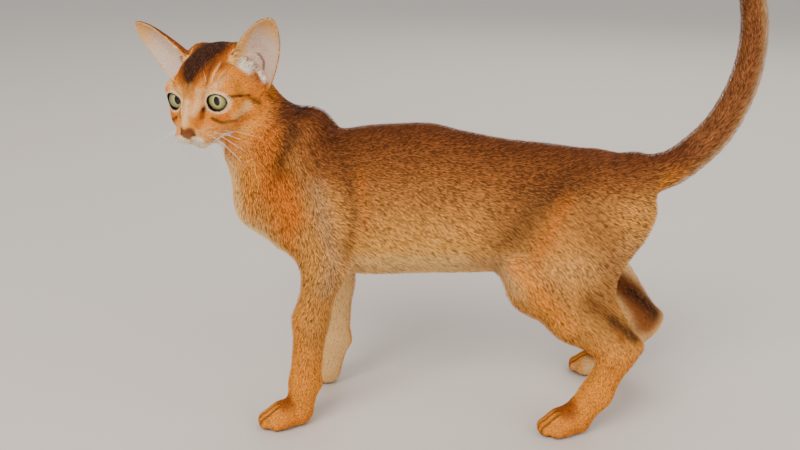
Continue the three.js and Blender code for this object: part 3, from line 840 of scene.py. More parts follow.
# Marks on the head, among them a painted highlight on the nose's ridge: colour, line, half width, soft edge,
# strength. They are on both sides.
HEAD_MARKS_AND_HIGHLIGHT = [
    (CREAM, [(20, 0, -36), (-12, 0, -40)], 10, 8, 0.9),
    (SAND, [(24, 8, -20), (18, 14, -20)], 3, 5, 0.4),
    (RUST, [(23.5, 11, -20), (17, 17, -19.5), (12, 20, -18)], 0.7, 1.6, 0.6),
    (CREAM, [(26.5, 4.5, -26), (25.5, 9.5, -26)], 4, 2.5, 1),
    (CREAM, [(25, 6, -29), (16, 15, -28.5), (5, 22, -26)], 2.2, 3, 0.9),
    (RUST, [(17.5, 9.5, -7), (22, 7.8, -14)], 2.8, 4, 0.8),
    (RUSSET, [(15.5, 10.8, -4.5), (18, 10.4, -9)], 2, 2.6, 0.95),
    # a painted highlight along the ridge of the nose
    (APRICOT, [(17, 0, 2), (26, 0, -12)], 2.8, 4, 0.85),
    (FAWN, [(14, 0, 11), (15.5, 0, 5)], 2, 4, 0.5),
    (RUST, [(-20, 20, 30), (-6, 17, 27), (5, 14, 19)], 4, 6, 0.8),
    (SABLE, [(-30, 23, 28), (-22, 24, 25)], 4, 6, 0.7),
    (RUSSET, [(-18, 0, 34), (-2, 0, 30)], 18.5, 5, 0.85),
    (RUSSET, [(-2, 0, 30), (6, 0, 22)], 13, 5, 0.85),
    (RUSSET, [(6, 0, 22), (12, 0, 13)], 6, 5, 0.6),
    (SABLE, [(-66, 0, -8), (-58, 0, 12), (-44, 0, 28)], 13, 14, 0.85),
    (UMBER, [(-62, 0, 4), (-44, 0, 28), (-18, 0, 34)], 13, 12, 0.95),
    (UMBER, [(-18, 0, 34), (-5, 0, 31.5)], 14, 6, 0.95),
    (UMBER, [(-5, 0, 31.5), (2, 0, 27)], 10.5, 6, 0.95),
    (UMBER, [(2, 0, 27), (6, 0, 22)], 7.5, 5, 0.95),
    (UMBER, [(6, 0, 22), (9.5, 0, 17)], 4.6, 4.5, 0.9),
    (UMBER, [(9.5, 0, 17), (12.8, 0, 12.5)], 1.6, 3.5, 0.85),
    (RUSSET, [(-20, 25.5, 28.5), (-12, 23, 26), (-4, 19.5, 22.5)], 3.4, 5, 0.85),
    (SABLE, [(-6, 14, 26.2), (2, 14.3, 21.5), (8.9, 15.8, 15.1), (10.5, 15, 10.5)], 1.2, 2.4, 0.9),
    (FAWN, [(12.5, 2.5, 12), (15.8, 2.3, 6)], 2.6, 4, 0.7),
    (FAWN, [(5.5, 20.5, 16), (2, 24, 16.5)], 2.2, 4, 0.7),
    (APRICOT, [(12.5, 9.5, 9), (14.5, 8, 2), (21, 5.2, -5)], 2.4, 6, 0.75),
    (SAND, [(11.5, 12.5, 8.5), (9.5, 18, 10), (5, 26, 11)], 2, 4.4, 0.8),
    (RUSSET, [(13.5, 5, 10), (8, 6, 18)], 0.6, 2, 0.6),
    (SAND, [(8, 18.5, 14.5), (2.5, 17.8, 19), (-8, 18.2, 26), (-22, 20.5, 30)], 0.6, 1.6, 0.9),
    (APRICOT, [(8, 22, 12), (-2, 26, 14)], 2, 5, 0.5),
    (UMBER, [(8, 29.5, 3), (3, 32.5, 2.4), (-10, 35.8, -1.4)], 1.1, 1.8, 1),
    (UMBER, [(-9, 36.5, -3), (-15, 39, -9)], 2.2, 4.5, 0.8),
    (RUST, [(13, 22, -11.5), (9, 27, -11)], 2.6, 2.4, 0.7),
    (SABLE, [(15, 17, -11), (13, 24, -14.6), (5.4, 30.8, -15), (-4, 34, -12)], 1.3, 2.2, 0.9),
    (RUSSET, [(20, 14, -19), (12, 20, -19.5), (4, 27, -20)], 0.9, 1.8, 0.85),
    (RUSSET, [(22, 13, -22.5), (14, 18.5, -23)], 0.7, 1.6, 0.8),
    (HONEY, [(4, 29, -12), (-6, 35, -8)], 3, 5, 0.6),
    (RUST, [(3, 29.5, -18), (-8, 36, -16), (-18, 40, -14)], 2.6, 5, 0.75),
    (GOLD, [(-2, 31, -24), (-14, 36, -24)], 4, 8, 0.7),
    (RUST, [(-14, 38, 0), (-24, 42, -6), (-30, 40, -16)], 4, 8, 0.6),
    (UMBER, [(-27, 44, 4), (-26, 41, -8), (-30, 40, -18)], 2, 6, 0.75),
    (BLACK, [(13, 12, -2), (16.2, 11, -4.6)], 1.3, 1.4, 0.95),
]
# The pale fluff at the front of each ear's root.
EAR_ROOT_MARKS = [
    (CREAM, [(-19, 28, 21), (-22, 33, 13), (-24, 38, 8), (-29, 42, 7)], 4.5, 4, 0.9),
    (CREAM, [(-27, 33, 17), (-30, 36, 9.5), (-31, 41, 7)], 5, 3, 0.95),
]
# The line of each ear's inner fold, where the fold's shade is painted.
EAR_FOLD_SHADE = [(-29, 37, 25), (-30.5, 40.5, 19), (-31, 38, 13)]
NOSE_LEATHER = [(27, 3.5, -19), (27, 0, -20.5), (28, 0, -24.5)]


def over(colour, paint, weight):
    """Paint laid over a colour, where it covers it by the weight."""
    return colour + (paint - colour) * np.asarray(weight)[:, None]


def ramp(table, x, column):
    """A colour or number from a table's column, by where x is between its stops."""
    stops = [row[0] for row in table]
    values = np.array([np.atleast_1d(row[column]) for row in table])
    return np.stack([np.interp(x, stops, values[:, c]) for c in range(values.shape[1])], 1)


def painted(colour, p, marks):
    """Paints marks: along each line, out to its half width, with a soft edge."""
    for paint, line, half, soft, strength in marks:
        edge = smooth(half - soft / 2, half + soft / 2, near_line(p, line))
        colour = over(colour, paint, strength * (1 - edge))
    return colour


def eye_markings(colour, q):
    """The pale spectacles and the lids' dark rims."""
    for side in SIDES:
        share, ahead = in_opening(side, q)
        rim = np.where(ahead > 0, (share - 1) * OPENING_HIGH, 20)
        colour = over(colour, SPECTACLES, 0.75 * (1 - smooth(1.1, 3, rim)))
        colour = over(colour, BLACK, 1 - smooth(0.4, 1.1, rim))
    return colour


def ear_markings(colour, tick, q, n):
    """The ears: russet backs with dark tips, and a pale lining whose golden rims and top are partly painted
    light glowing through the ear, with the painted shade of a fold.
    """
    fold = near_line(folded(q), EAR_FOLD_SHADE)
    for side in SIDES:
        here, u, v = on_ear(side, q)
        inner = here * smooth(0.0, 0.35, n @ ear_axes(side)[1][:, 2])
        outside = over(RUSSET, UMBER, smooth(0.35, 0.9, v) * 0.8)
        colour = over(colour, outside, here)
        # golden towards the rims and the top: partly golden hairs, partly a painted glow of light shining
        # through the ear
        rims_and_glow = np.maximum(smooth(0.8, 0.97, u * side), smooth(0.5, 0.9, -u * side))
        lining = over(LILAC, GOLD, 0.9 * np.maximum(smooth(0.55, 0.95, v), rims_and_glow))
        # painted shade along the ear's inner fold
        lining = over(lining, BRICK, 0.75 * (1 - smooth(0.6, 2.6, fold)))
        colour = over(colour, lining, inner)
        tick = tick * (1 - inner)
    return colour, tick


def nose_markings(colour, q):
    """The nose leather, with the lines of the mouth, and the nostrils painted black as the shade in their
    openings.
    """
    mirrored = folded(q)
    nose = near_line(mirrored, NOSE_LEATHER) + 0.35 * np.clip(-20 - q[:, 2], 0, 6)
    colour = over(colour, UMBER, (1 - smooth(3.6, 4.8, nose)) * 0.8)
    colour = over(colour, BRICK, 1 - smooth(2.8, 3.6, nose))
    for line in (MOUTH, PHILTRUM):
        colour = over(colour, MAUVE, 0.8 * (1 - smooth(0.5, 1.3, near_line(mirrored, line))))
    # the nostrils' openings painted black: painted shade
    return over(colour, BLACK, 1 - smooth(0.8, 1.2, near_line(mirrored, NOSTRIL)))


def head_markings(q, n):
    """The head's colour and ticking, by points and normals in its frame."""
    back = smooth(-6, -40, q[:, 0])
    colour = over(AMBER, RUST, 0.75 * back)
    colour = over(colour, UMBER, 0.8 * smooth(0.2, 0.9, n[:, 2]) * smooth(-12, -34, q[:, 0]))
    colour = over(colour, SAND, smooth(-10, -30, q[:, 2]) * smooth(0, 14, q[:, 0]) * 0.5)
    colour = painted(colour, folded(q), HEAD_MARKS_AND_HIGHLIGHT)
    front = np.max([n @ ear_axes(side)[1][:, 2] * (q[:, 1] * side > 0) for side in SIDES], 0)
    colour = over(colour, painted(colour, folded(q), EAR_ROOT_MARKS), smooth(-0.05, 0.3, front))
    colour = eye_markings(colour, q)
    colour, tick = ear_markings(colour, 0.5 * back + 0.15, q, n)
    return nose_markings(colour, q), tick


CURL_MIDDLE = np.array([190, -4, 300])  # of the tail's curl
CHEST_FACING = np.array([-0.95, 0, -0.3])
# where painted shade darkens the grooves between the toes
TOE_GROOVE_SHADES = (-4.9, 0, 4.9)  # across the paw

# Marks on the body, on both sides, laid out as on the head. Some are painted shade in the creases of the
# neck, the shoulder and the flank, over darker coat.
BODY_MARKS_AND_SHADES = [
    (RUST, [(-100, 28, 235), (-96, 32, 205), (-84, 36, 180)], 13, 18, 0.75),
    (AMBER, [(-112, 18, 215), (-110, 22, 180)], 9, 14, 0.8),
    (RUST, [(-84, 34, 205), (-80, 40, 180), (-84, 42, 160)], 6, 14, 0.6),
    # down the neck's side: darker coat, with the painted shade of the fold there
    (UMBER, [(-74, 4, 249), (-80, 22, 239), (-86, 29, 225), (-90, 31, 210)], 4, 16, 0.85),
    # behind the shoulder: darker coat, with the painted shade of the crease there
    (SABLE, [(-42, 27, 218), (-37, 34, 197), (-35, 40, 178), (-38, 42, 160), (-42, 40, 146)], 2, 14, 0.75),
    (RUST, [(-30, 32, 208), (-27, 39, 180), (-29, 42, 158)], 2, 12, 0.5),
    # before the thigh: the painted shade of the flank's fold over its darker ticked coat, with a darker core
    (SABLE, [(120, 30, 203), (98, 34, 185), (80, 36, 160), (72, 36, 142)], 15, 44, 0.7),
    (UMBER, [(120, 31, 200), (104, 34, 182), (86, 36, 158)], 4, 24, 0.35),
    (RUST, [(122, 36, 186), (108, 42, 162), (98, 44, 138), (110, 48, 120)], 4, 20, 0.65),
    (ASH, [(-62, 40, 200), (-54, 45, 165), (-50, 46, 150), (-55, 45, 122)], 6, 16, 0.7),
    (AMBER, [(-86, 42, 150), (-80, 44, 110), (-78, 44, 70)], 5, 12, 0.7),
    (AMBER, [(86, 44, 140), (100, 50, 124), (112, 50, 108), (128, 47, 92)], 6, 14, 0.8),
    (HAZEL, [(140, 44, 178), (156, 45, 150), (150, 48, 118)], 12, 34, 0.85),
    (SABLE, [(176, 30, 176), (172, 34, 150), (170, 36, 128)], 3, 18, 0.6),
    (AMBER, [(194, 14, 190), (222, 12, 204)], 5, 16, 0.6),
]
# Marks that aren't the same on both sides: the nape, the backs of the shanks, and the soles.
SIDED_MARKS = [
    (UMBER, [(-116, 42, 268), (-98, 24, 257), (-82, 8, 250)], 7, 16, 0.85),
    (SABLE, [(140, -50, 116), (163, -47, 96), (181, -45, 81)], 4, 14, 0.7),
    (UMBER, [(160, -48, 99), (170, -47, 90), (180, -45, 82)], 3, 9, 0.9),
    (RUSSET, [(170, 33, 104), (196, 35, 84), (212, 35, 56)], 10, 12, 0.9),
    (SABLE, [(176, 32, 102), (206, 37, 76), (220, 39, 62)], 8, 14, 0.9),
    (UMBER, [(194, 34, 87), (208, 37, 75), (219, 39, 65)], 4, 8, 0.9),
    (RUSSET, [(178, 34, 88), (198, 38, 66), (208, 40, 50)], 3, 8, 0.6),
    (RUSSET, [(166, -46, 88), (172, -47, 74), (162, -50, 58)], 2, 7, 0.6),
    (UMBER, [(162, -44, 30), (146, -44, 8)], 5, 5, 0.9),
    (UMBER, [(204, 44, 30), (188, 44, 8)], 5, 5, 0.9),
]


def limb_markings(colour, tick, p, n):
    """The legs: tawny on the shoulder and haunch, amber below them, rusty at the foot, and pale inside."""
    haunch = smooth(78, 104, p[:, 0]) * smooth(200, 168, p[:, 2])
    shoulder = smooth(-30, -50, p[:, 0]) * smooth(210, 180, p[:, 2])
    upper = np.maximum(haunch, shoulder) * smooth(24, 36, np.abs(p[:, 1]))
    colour = over(colour, FAWN, upper * 0.85)
    tick = tick * (1 - upper) + upper * 0.55
    low = smooth(150, 105, p[:, 2])
    outer = over(FAWN, AMBER, smooth(90, 40, p[:, 2]))
    outer = over(outer, RUST, 0.4 * smooth(20, 6, p[:, 2]))
    colour = over(colour, outer, low)
    inside = low * smooth(0.0, 0.7, -n[:, 1] * np.sign(p[:, 1]))
    colour = over(colour, BUFF, inside * 0.85)
    tick = (tick * (1 - low) + low * 0.45) * (1 - 0.8 * inside)
    return colour, tick


def toe_markings(colour, p, knuckle, toe):
    """A paw's rusty top, its amber toes, and painted shade in the grooves between them."""
    forward = unit((np.array(toe) - knuckle) * (1, 1, 0))
    away = p - knuckle
    ahead, aside = away @ forward, away @ np.cross((0, 0, 1), forward)
    here = (1 - smooth(14, 17, np.abs(aside))) * smooth(36, 24, p[:, 2])
    here = here * smooth(-14, -8, ahead) * (ahead < 45)
    top = np.linalg.norm((away - 9 * forward) * (1, 1, 0.9) - (0, 0, 5), axis=1)
    colour = over(colour, RUSSET, here * 0.9 * (1 - smooth(6, 15, top)))
    colour = over(colour, AMBER, here * 0.6 * smooth(15, 22, ahead))
    # painted shade: dark lines where the grooves between the toes lie in shade
    for place in TOE_GROOVE_SHADES:
        groove = 1 - smooth(0.3, 1.3, np.abs(aside - place * (0.8 + ahead / 100)))
        colour = over(colour, UMBER, here * 0.75 * (groove * smooth(14, 18, ahead)))
    return colour


def foot_markings(colour, p, n):
    """The marks that differ between the sides, the paws, and the dark soles."""
    colour = painted(colour, p, SIDED_MARKS)
    for j in LIMBS.values():
        colour = toe_markings(colour, p, j["knuckle"], j["fore_toe"])
        colour = toe_markings(colour, p, j["hind_knuckle"], j["hind_toe"])
    return over(colour, UMBER, smooth(3.5, 1.2, p[:, 2]) * smooth(-0.3, -0.7, n[:, 2]))


def trunk_markings(p, n):
    """The trunk's colour and ticking from its back to its belly, by the normal where the chest begins."""
    up = np.clip(trunk_place(p)[1], -1, 1)
    forward = smooth(-45, -85, p[:, 0])
    up = up * (1 - forward) + np.clip(n[:, 2] * 1.1, -1, 1) * forward
    return ramp(TRUNK_COLOURS, up, 1), ramp(TRUNK_COLOURS, up, 2)[:, 0]


def tail_markings(colour, tick, p, n):
    """The tail: paler outside its curl, with a dark tip."""
    tail = smooth(200, 232, p[:, 0]) * smooth(150, 190, p[:, 2]) + (p[:, 2] > 262) * (p[:, 0] > 100)
    tail = np.clip(tail, 0, 1)
    outward = (n * unit(p - CURL_MIDDLE)).sum(1)
    colour = over(colour, over(COCOA, TOAST, smooth(0.1, 0.85, outward)), tail)
    colour = over(colour, UMBER, tail * smooth(380, 402, p[:, 2]))
    return colour, tick * (1 - tail) + tail * (0.8 - 0.35 * smooth(0.0, 0.75, outward))


def markings(p, n):
    """The coat's colour and the share of its tufts that are tipped dark, by points and normals."""
    colour, tick = trunk_markings(p, n)
    colour, tick = limb_markings(colour, tick, p, n)
    colour = painted(colour, folded(p), BODY_MARKS_AND_SHADES)
    chest = smooth(-78, -100, p[:, 0]) * smooth(120, 150, p[:, 2]) * smooth(0.4, 0.9, n @ CHEST_FACING)
    colour = over(colour, STRAW, 0.6 * chest)
    tick = tick * (1 - 0.85 * chest)
    colour = foot_markings(colour, p, n)
    colour, tick = tail_markings(colour, tick, p, n)
    near = near_head(p)
    q = to_head(p[near])
    on_head = 1 - smooth(40, 58, np.linalg.norm(q - (-12, 0, 0), axis=1))
    on_head = np.max([on_head, *[on_ear(side, q)[0] for side in SIDES]], 0)
    head_colour, head_tick = head_markings(q, n[near] @ HEAD_AXES)
    colour[near] = over(colour[near], head_colour, on_head)
    tick[near] = tick[near] * (1 - on_head) + head_tick * on_head
    return colour, tick


# ---------------------------------------------------------------- tufts

COAT_TUFTS = 236000
THINNING = 1.3  # longer tufts stand further apart, by this power of their length
TUFT_BEND = 0.42  # where a tuft is widest, along its length
TUFT_ROOT = 0.35  # how deep it stands in the skin
BEND_HEIGHT, RIDGE = 0.45, 0.35  # the bend's height to the tip's, and the ridge's height to the width
SETTLING = 2.5  # how far a tuft's points may move to reach their height over the skin
EAR_COAT, EAR_TUFT = 0.55, 2.6  # the coat's depth and the tufts' length on the ears
EAR_REGION = -1
rng = np.random.default_rng(7)


def doubled_areas(points, faces):
    """Each quad's normal, as long as twice its area."""
    a, b, c, d = (points[faces[:, corner]] for corner in range(4))
    return np.cross(c - a, d - b)


def normals_of(points, faces):
    """The mesh's normals at its corners."""
    across = doubled_areas(points, faces)
    total = np.zeros_like(points)
    for corner, axis in np.ndindex(4, 3):
        total[:, axis] += np.bincount(faces[:, corner], across[:, axis], len(points))
    return unit(total + 1e-12)


def scattered(points, normals, faces, density, count):
    """Even random places over quads, with density given for each quad."""
    total = np.cumsum(np.linalg.norm(doubled_areas(points, faces), axis=1) / 2 * density)
    want = (np.arange(count) + rng.random(count)) / count * total[-1]
    at = np.searchsorted(total, want)
    s, t = rng.random(count)[:, None], rng.random(count)[:, None]
    shares = [(1 - s) * (1 - t), s * (1 - t), s * t, (1 - s) * t]
    place = sum(share * points[faces[at, corner]] for corner, share in enumerate(shares))
    normal = sum(share * normals[faces[at, corner]] for corner, share in enumerate(shares))
    return place, unit(normal)


def spikes(root, normal, lie, length, width, height):
    """Closed spikes that rise to a height over the skin: their corners and corner normals."""
    across = np.cross(normal, lie)

    def settled(point, over_skin):
        return point + normal * np.clip(over_skin - skin(point), -SETTLING, SETTLING)[:, None]

    middle = settled(root + lie * (length * TUFT_BEND)[:, None], height * BEND_HEIGHT)
    tip = settled(root + lie * length[:, None], height)
    half = across * (width / 2)[:, None]
    top = normal * (width * RIDGE)[:, None]
    corners = np.stack([root - normal * TUFT_ROOT, middle - half, middle + half, middle + top, tip], 1)
    leaning = across * 0.45
    turned = np.stack([normal, normal - leaning, normal + leaning, normal, normal + lie * 0.35], 1)
    return corners, unit(turned)


SPIKE_FACES = np.array([(0, 2, 1), (0, 3, 2), (0, 1, 3), (4, 1, 2), (4, 2, 3), (4, 3, 1)])
SPIKE_PATCH = np.array([(-1, 0), (0, -1), (0, 1), (0.2, 0), (1, 0)]) * 0.0015  # a tuft's corners on OFBake

# The line that each region of the coat is unwrapped around.
HEAD_LINE = [from_head((32, 0, -14)), from_head((-62, 0, 4))]
TRUNK_LINE = [(-110, 0, 184), (200, 0, 188)]
LEG_LINES = {
    "foreleg": ("scapula", "shoulder", "elbow", "carpus", "knuckle", "fore_toe"),
    "hindleg": ("hip", "knee", "hock", "metatarsus", "hind_knuckle", "hind_toe"),
}
UNWRAP_LINES = {
    **dict.fromkeys(("face", "crown"), HEAD_LINE),
    **dict.fromkeys(("back", "belly", "flank_left", "flank_right"), TRUNK_LINE),
    "neck": [(-130, 14, 260), (-100, 4, 205), (-52, 0, 150)],
    "tail": TAIL_LINE[::3, :3],
    **{
        f"{leg}_{name}": [joints[joint] for joint in line]
        for name, joints in LIMBS.items()
        for leg, line in LEG_LINES.items()
    },
}


def unwrapped(line, p):
    """The skin unrolled around a line: the angle around it and the distance along it."""
    line = np.asarray(line, float)
    spans = line[1:] - line[:-1]
    sizes = np.linalg.norm(spans, axis=1)
    before = np.concatenate([[0], np.cumsum(sizes)])
    share = np.clip(((p[:, None] - line[:-1]) * spans).sum(2) / sizes**2, 0, 1)
    foot = line[:-1] + share[:, :, None] * spans
    at = ((p[:, None] - foot) ** 2).sum(2).argmin(1)
    each = np.arange(len(p))
    axis = (spans / sizes[:, None])[at]
    out = p - foot[each, at]
    first = unit(np.cross(axis, (0.1, 1, 0.05)))
    angle = np.arctan2((out * np.cross(axis, first)).sum(1), (out * first).sum(1))
    distance = before[at] + share[each, at] * sizes[at] + ((out * axis).sum(1))
    return np.stack([angle, distance], 1)


def ears_unwrapped(p, n):
    """The two ears' faces laid out flat, in the four quarters of the square."""
    q = to_head(p)
    m = n @ HEAD_AXES
    flat = np.zeros((len(p), 2))
    for side in SIDES:
        mine = q[:, 1] * side > 0
        u, v, _ = ear_place(side, q[mine])
        inner = m[mine] @ ear_axes(side)[1][:, 2] > 0.1
        across = np.clip(u, -1.2, 1.2) + (side > 0) * 2.6
        flat[mine] = np.stack([across, np.clip(v, 0, 1.1) + inner * 1.2], 1)
    return flat


def squared(flat):
    """Flat places fitted to the unit square."""
    low, high = flat.min(0), flat.max(0)
    return 0.01 + 0.98 * (flat - low) / (high - low)


def tuft_colours(colour, tick):
    """Each tuft's colour at its corners: lit and dark tufts, and dark tips on the ticked ones."""
    count = len(colour)
    shade = 1 + rng.normal(0, 0.13, count)
    base = colour * np.clip(shade * (1 + 0.6 * tick), 0.6, 2)[:, None]
    ticked = rng.random(count) < tick * 0.55
    grizzled = (rng.random(count) < 0.3) & (colour @ (0.3, 0.6, 0.1) < 0.06)
    base[grizzled] = colour[grizzled] * 2.4 + (0.035, 0.016, 0.006)
    dark = np.where(ticked, 0.95, 0.0) * rng.uniform(0.75, 1, count)
    tip = over(base * 1.2, UMBER * 0.5, dark)
    middle = over(base, UMBER * 0.7, dark * 0.95)
    return np.stack([over(base * 0.8, UMBER, dark * 0.4), middle, middle, middle, tip], 1)


def bald(root, normal, q):
    """Where no tufts grow: the nose leather, the lids' openings, the soles, and sharp creases."""
    bare = near_line(folded(q), NOSE_LEATHER) < 3.4
    for side in SIDES:
        share, ahead = in_opening(side, q, 1.4)
        bare |= (share < 1) & (ahead > 0)
    bare |= (root[:, 2] < 1.5) & (normal[:, 2] < -0.5)
    return bare | (np.linalg.norm(normal, axis=1) < 0.5)


def comb_ears(q, normal, region, lie, length):
    """The combed coat with the ears' own: up their backs, and long fluff inwards at their front edges."""
    for side in SIDES:
        here, u, v = on_ear(side, q)
        here = here > 0.5
        across, up, facing = ear_axes(side)[1].T
        inner = here & (normal @ HEAD_AXES @ facing > 0.1)
        lie = np.where(here[:, None], HEAD_AXES @ up + lie * 0.1, lie)
        lie[inner] = HEAD_AXES @ (up * 0.8 + across * side * 0.7)
        length = np.where(here, EAR_TUFT, length)
        length[inner] = (2.2 + 6 * smooth(0.5, -0.7, u * side) * smooth(0.75, 0.2, v))[inner]
        region = np.where(here, EAR_REGION, region)
    return region, lie, length


# ---------------------------------------------------------------- Blender

SHIFT = from_head(eye_centre(1)) - 500 * np.add(*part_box("eye_left"))  # from the solids' making frame, in mm


def metres(p):
    """Places in the part's frame, as Blender has them."""
    return (np.asarray(p, float) - SHIFT) / 1000


def new_mesh(name, points, faces, material, colours=None, normals=None, uv=None):
    """A piece of the cat from points in mm and faces of equal size."""
    mesh = bpy.data.meshes.new(name)
    faces = np.asarray(faces)
    mesh.vertices.add(len(points))
    mesh.vertices.foreach_set("co", metres(points).astype(np.float32).ravel())
    mesh.loops.add(faces.size)
    mesh.loops.foreach_set("vertex_index", faces.ravel().astype(np.int32))
    mesh.polygons.add(len(faces))
    mesh.polygons.foreach_set("loop_start", np.arange(0, faces.size, faces.shape[1], dtype=np.int32))
    mesh.polygons.foreach_set("use_smooth", np.ones(len(faces), bool))
    mesh.update()
    if colours is not None:
        layer = mesh.color_attributes.new("coat", "FLOAT_COLOR", "POINT")
        rgba = np.ones((len(points), 4), np.float32)
        rgba[:, :3] = np.clip(colours, 0, 1)
        layer.data.foreach_set("color", rgba.ravel())
    if uv is not None:
        layer = mesh.uv_layers.new(name="OFBake")
        layer.data.foreach_set("uv", uv[faces.ravel()].astype(np.float32).ravel())
    if normals is not None:
        mesh.normals_split_custom_set_from_vertices(normals)
    mesh.materials.append(material)
    piece = bpy.data.objects.new(name, mesh)
    bpy.context.scene.collection.objects.link(piece)
    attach(piece, "root")
    return piece


def new_material(name, roughness):
    """A material and its shader."""
    material = bpy.data.materials.new(name)
    material.use_nodes = True
    shader = material.node_tree.nodes["Principled BSDF"]
    shader.inputs["Roughness"].default_value = roughness
    return material, shader


def plain(name, color, roughness):
    """One colour all over."""
    material, shader = new_material(name, roughness)
    shader.inputs["Base Color"].default_value = (*color, 1)
    return material


def fur(name, roughness):
    """Short fur in its painted colour, nearly without gloss."""
    material, shader = new_material(name, roughness)
    colour = material.node_tree.nodes.new("ShaderNodeAttribute")
    colour.attribute_name = "coat"
    material.node_tree.links.new(colour.outputs["Color"], shader.inputs["Base Color"])
    shader.inputs["Specular IOR Level"].default_value = 0.03
    return material


def grained(material):
    """Roughens a material's surface with hair-fine grain."""
    nodes, links = material.node_tree.nodes, material.node_tree.links
    grain = nodes.new("ShaderNodeTexNoise")
    grain.inputs["Scale"].default_value = 1800
    bump = nodes.new("ShaderNodeBump")
    bump.inputs["Strength"].default_value = 0.6
    bump.inputs["Distance"].default_value = 0.0005
    links.new(nodes.new("ShaderNodeTexCoord").outputs["Object"], grain.inputs["Vector"])
    links.new(grain.outputs["Fac"], bump.inputs["Height"])
    links.new(bump.outputs["Normal"], nodes["Principled BSDF"].inputs["Normal"])
    return material


def wet(material):
    """Lays a glossy film over a material."""
    shader = material.node_tree.nodes["Principled BSDF"]
    shader.inputs["Specular IOR Level"].default_value = 0.1
    shader.inputs["Coat Weight"].default_value = 0.6
    shader.inputs["Coat Roughness"].default_value = 0.02
    return material


MATERIALS = {
    "coat": fur("coat", 0.62),
    "skin": grained(fur("skin", 0.8)),
    "eye": wet(fur("eye", 0.12)),
    "whisker": plain("whisker", (0.86, 0.84, 0.8), 0.35),
}

# ---------------------------------------------------------------- the studio

CAMERA_AT, CAMERA_DOWN = (0, -658, 394), 19.8  # in the making frame, in mm, and how far down it looks
LENS, SENSOR = 40, 36


def set_camera():
    data = bpy.data.cameras.new("camera")
    data.lens, data.sensor_width = LENS, SENSOR
    camera = bpy.data.objects.new("camera", data)
    camera.location = metres(CAMERA_AT)
    camera.rotation_euler = (math.radians(90 - CAMERA_DOWN), 0, 0)
    bpy.context.scene.collection.objects.link(camera)
    bpy.context.scene.camera = camera


def light(name, place, aim, size, watts, color=(1, 1, 1)):
    data = bpy.data.lights.new(name, "AREA")
    data.size, data.energy, data.color = size, watts, color
    lamp = bpy.data.objects.new(name, data)
    lamp.location = place
    lamp.rotation_euler = (Vector(aim) - Vector(place)).to_track_quat("-Z", "Y").to_euler()
    bpy.context.scene.collection.objects.link(lamp)


def set_studio():
    """A pale floor under a pale sky, with four soft lights, in metres and watts."""
    bpy.ops.mesh.primitive_plane_add(size=60, location=(0, 0, 0))
    floor = bpy.context.object
    floor.name = "floor"
    floor.data.materials.append(plain("floor", (0.6, 0.53, 0.46), 0.7))
    world = bpy.data.worlds.new("studio")
    bpy.context.scene.world = world
    world.use_nodes = True
    sky = world.node_tree.nodes["Background"]
    sky.inputs["Color"].default_value = (0.95, 0.96, 1, 1)
    sky.inputs["Strength"].default_value = 0.75
    light("key", (-1.0, -1.6, 1.9), (0, 0, 0.15), 1.3, 60, (1, 0.97, 0.92))
    light("low", (-0.2, -1.3, 0.2), (0, 0, 0.12), 0.8, 4, (1, 0.92, 0.8))
    light("fill", (1.6, -1.2, 1.1), (0, 0, 0.15), 1.8, 22, (0.97, 0.98, 1))
    light("back", (0.6, 1.6, 1.5), (0, 0, 0.2), 1.4, 15)


# ---------------------------------------------------------------- the coat's pieces


def add_tufts(name, corners, normals, colours, flat):
    """One piece of the coat: each tuft has its own patch of OFBake around its flat place."""
    first = len(SPIKE_PATCH) * np.arange(len(corners))[:, None, None]
    uv = squared(flat)[:, None] + SPIKE_PATCH
    new_mesh(
        f"coat_{name}",
        corners.reshape(-1, 3),
        (SPIKE_FACES + first).reshape(-1, 3),
        MATERIALS["coat"],
        colours.reshape(-1, 3),
        normals.reshape(-1, 3),
        uv.reshape(-1, 2),
    )


def add_coat(points, normals, faces):
    """Scatters tufts over the skin, combs and colours them, and makes a piece of each region's."""
    length = comb(points[faces].mean(1))[2]
    root, normal = scattered(points, normals, faces, 1 / length**THINNING, COAT_TUFTS)
    q = to_head(root)
    grown = ~bald(root, normal, q)
    coat = (root, normal, *comb_ears(q, normal, *comb(root)))
    root, normal, region, lie, length = (values[grown] for values in coat)
    count = len(root)
    lie = unit(lie - normal * (lie * normal).sum(1)[:, None] + 1e-9)
    lie = unit(lie + np.cross(normal, lie) * rng.normal(0, 0.16, count)[:, None])
    length = length * rng.uniform(0.5, 0.85, count)
    depth = np.where(region == EAR_REGION, EAR_COAT, coat_depth(root) * 0.95)
    fluff = np.where(region == REGION_NAMES.index("tail"), 1.6, 1)
    height = depth * rng.uniform(0.5, 1.05, count) * fluff
    corners, turned = spikes(root, normal, lie, length, 0.22 + 0.062 * length, height)
    colours = tuft_colours(*markings(root, normal))
    for number, name in [(EAR_REGION, "ears"), *enumerate(REGION_NAMES)]:
        mine = region == number
        if number == EAR_REGION:
            flat = ears_unwrapped(root[mine], normal[mine])
        else:
            flat = unwrapped(UNWRAP_LINES[name], root[mine])
        add_tufts(name, corners[mine], turned[mine], colours[mine], flat)


# ---------------------------------------------------------------- the eyes

# The iris's rings from its middle outwards, measured in half pupils and beyond them in IRIS_UNIT.
IRIS_RINGS = [
    (0, rgb(8, 8, 8)), (0.96, rgb(10, 9, 8)), (1.06, rgb(190, 176, 100)), (1.5, rgb(156, 150, 88)),
    (2.2, rgb(124, 124, 72)), (2.75, rgb(84, 84, 48)), (3.1, rgb(40, 38, 24)), (3.3, rgb(16, 14, 12)),
]
IRIS_UNIT = 2.6
PUPIL_WIDE, PUPIL_HIGH = 2.3, 3.6  # half sizes
EYE_ROWS, EYE_SPOKES = 90, 120


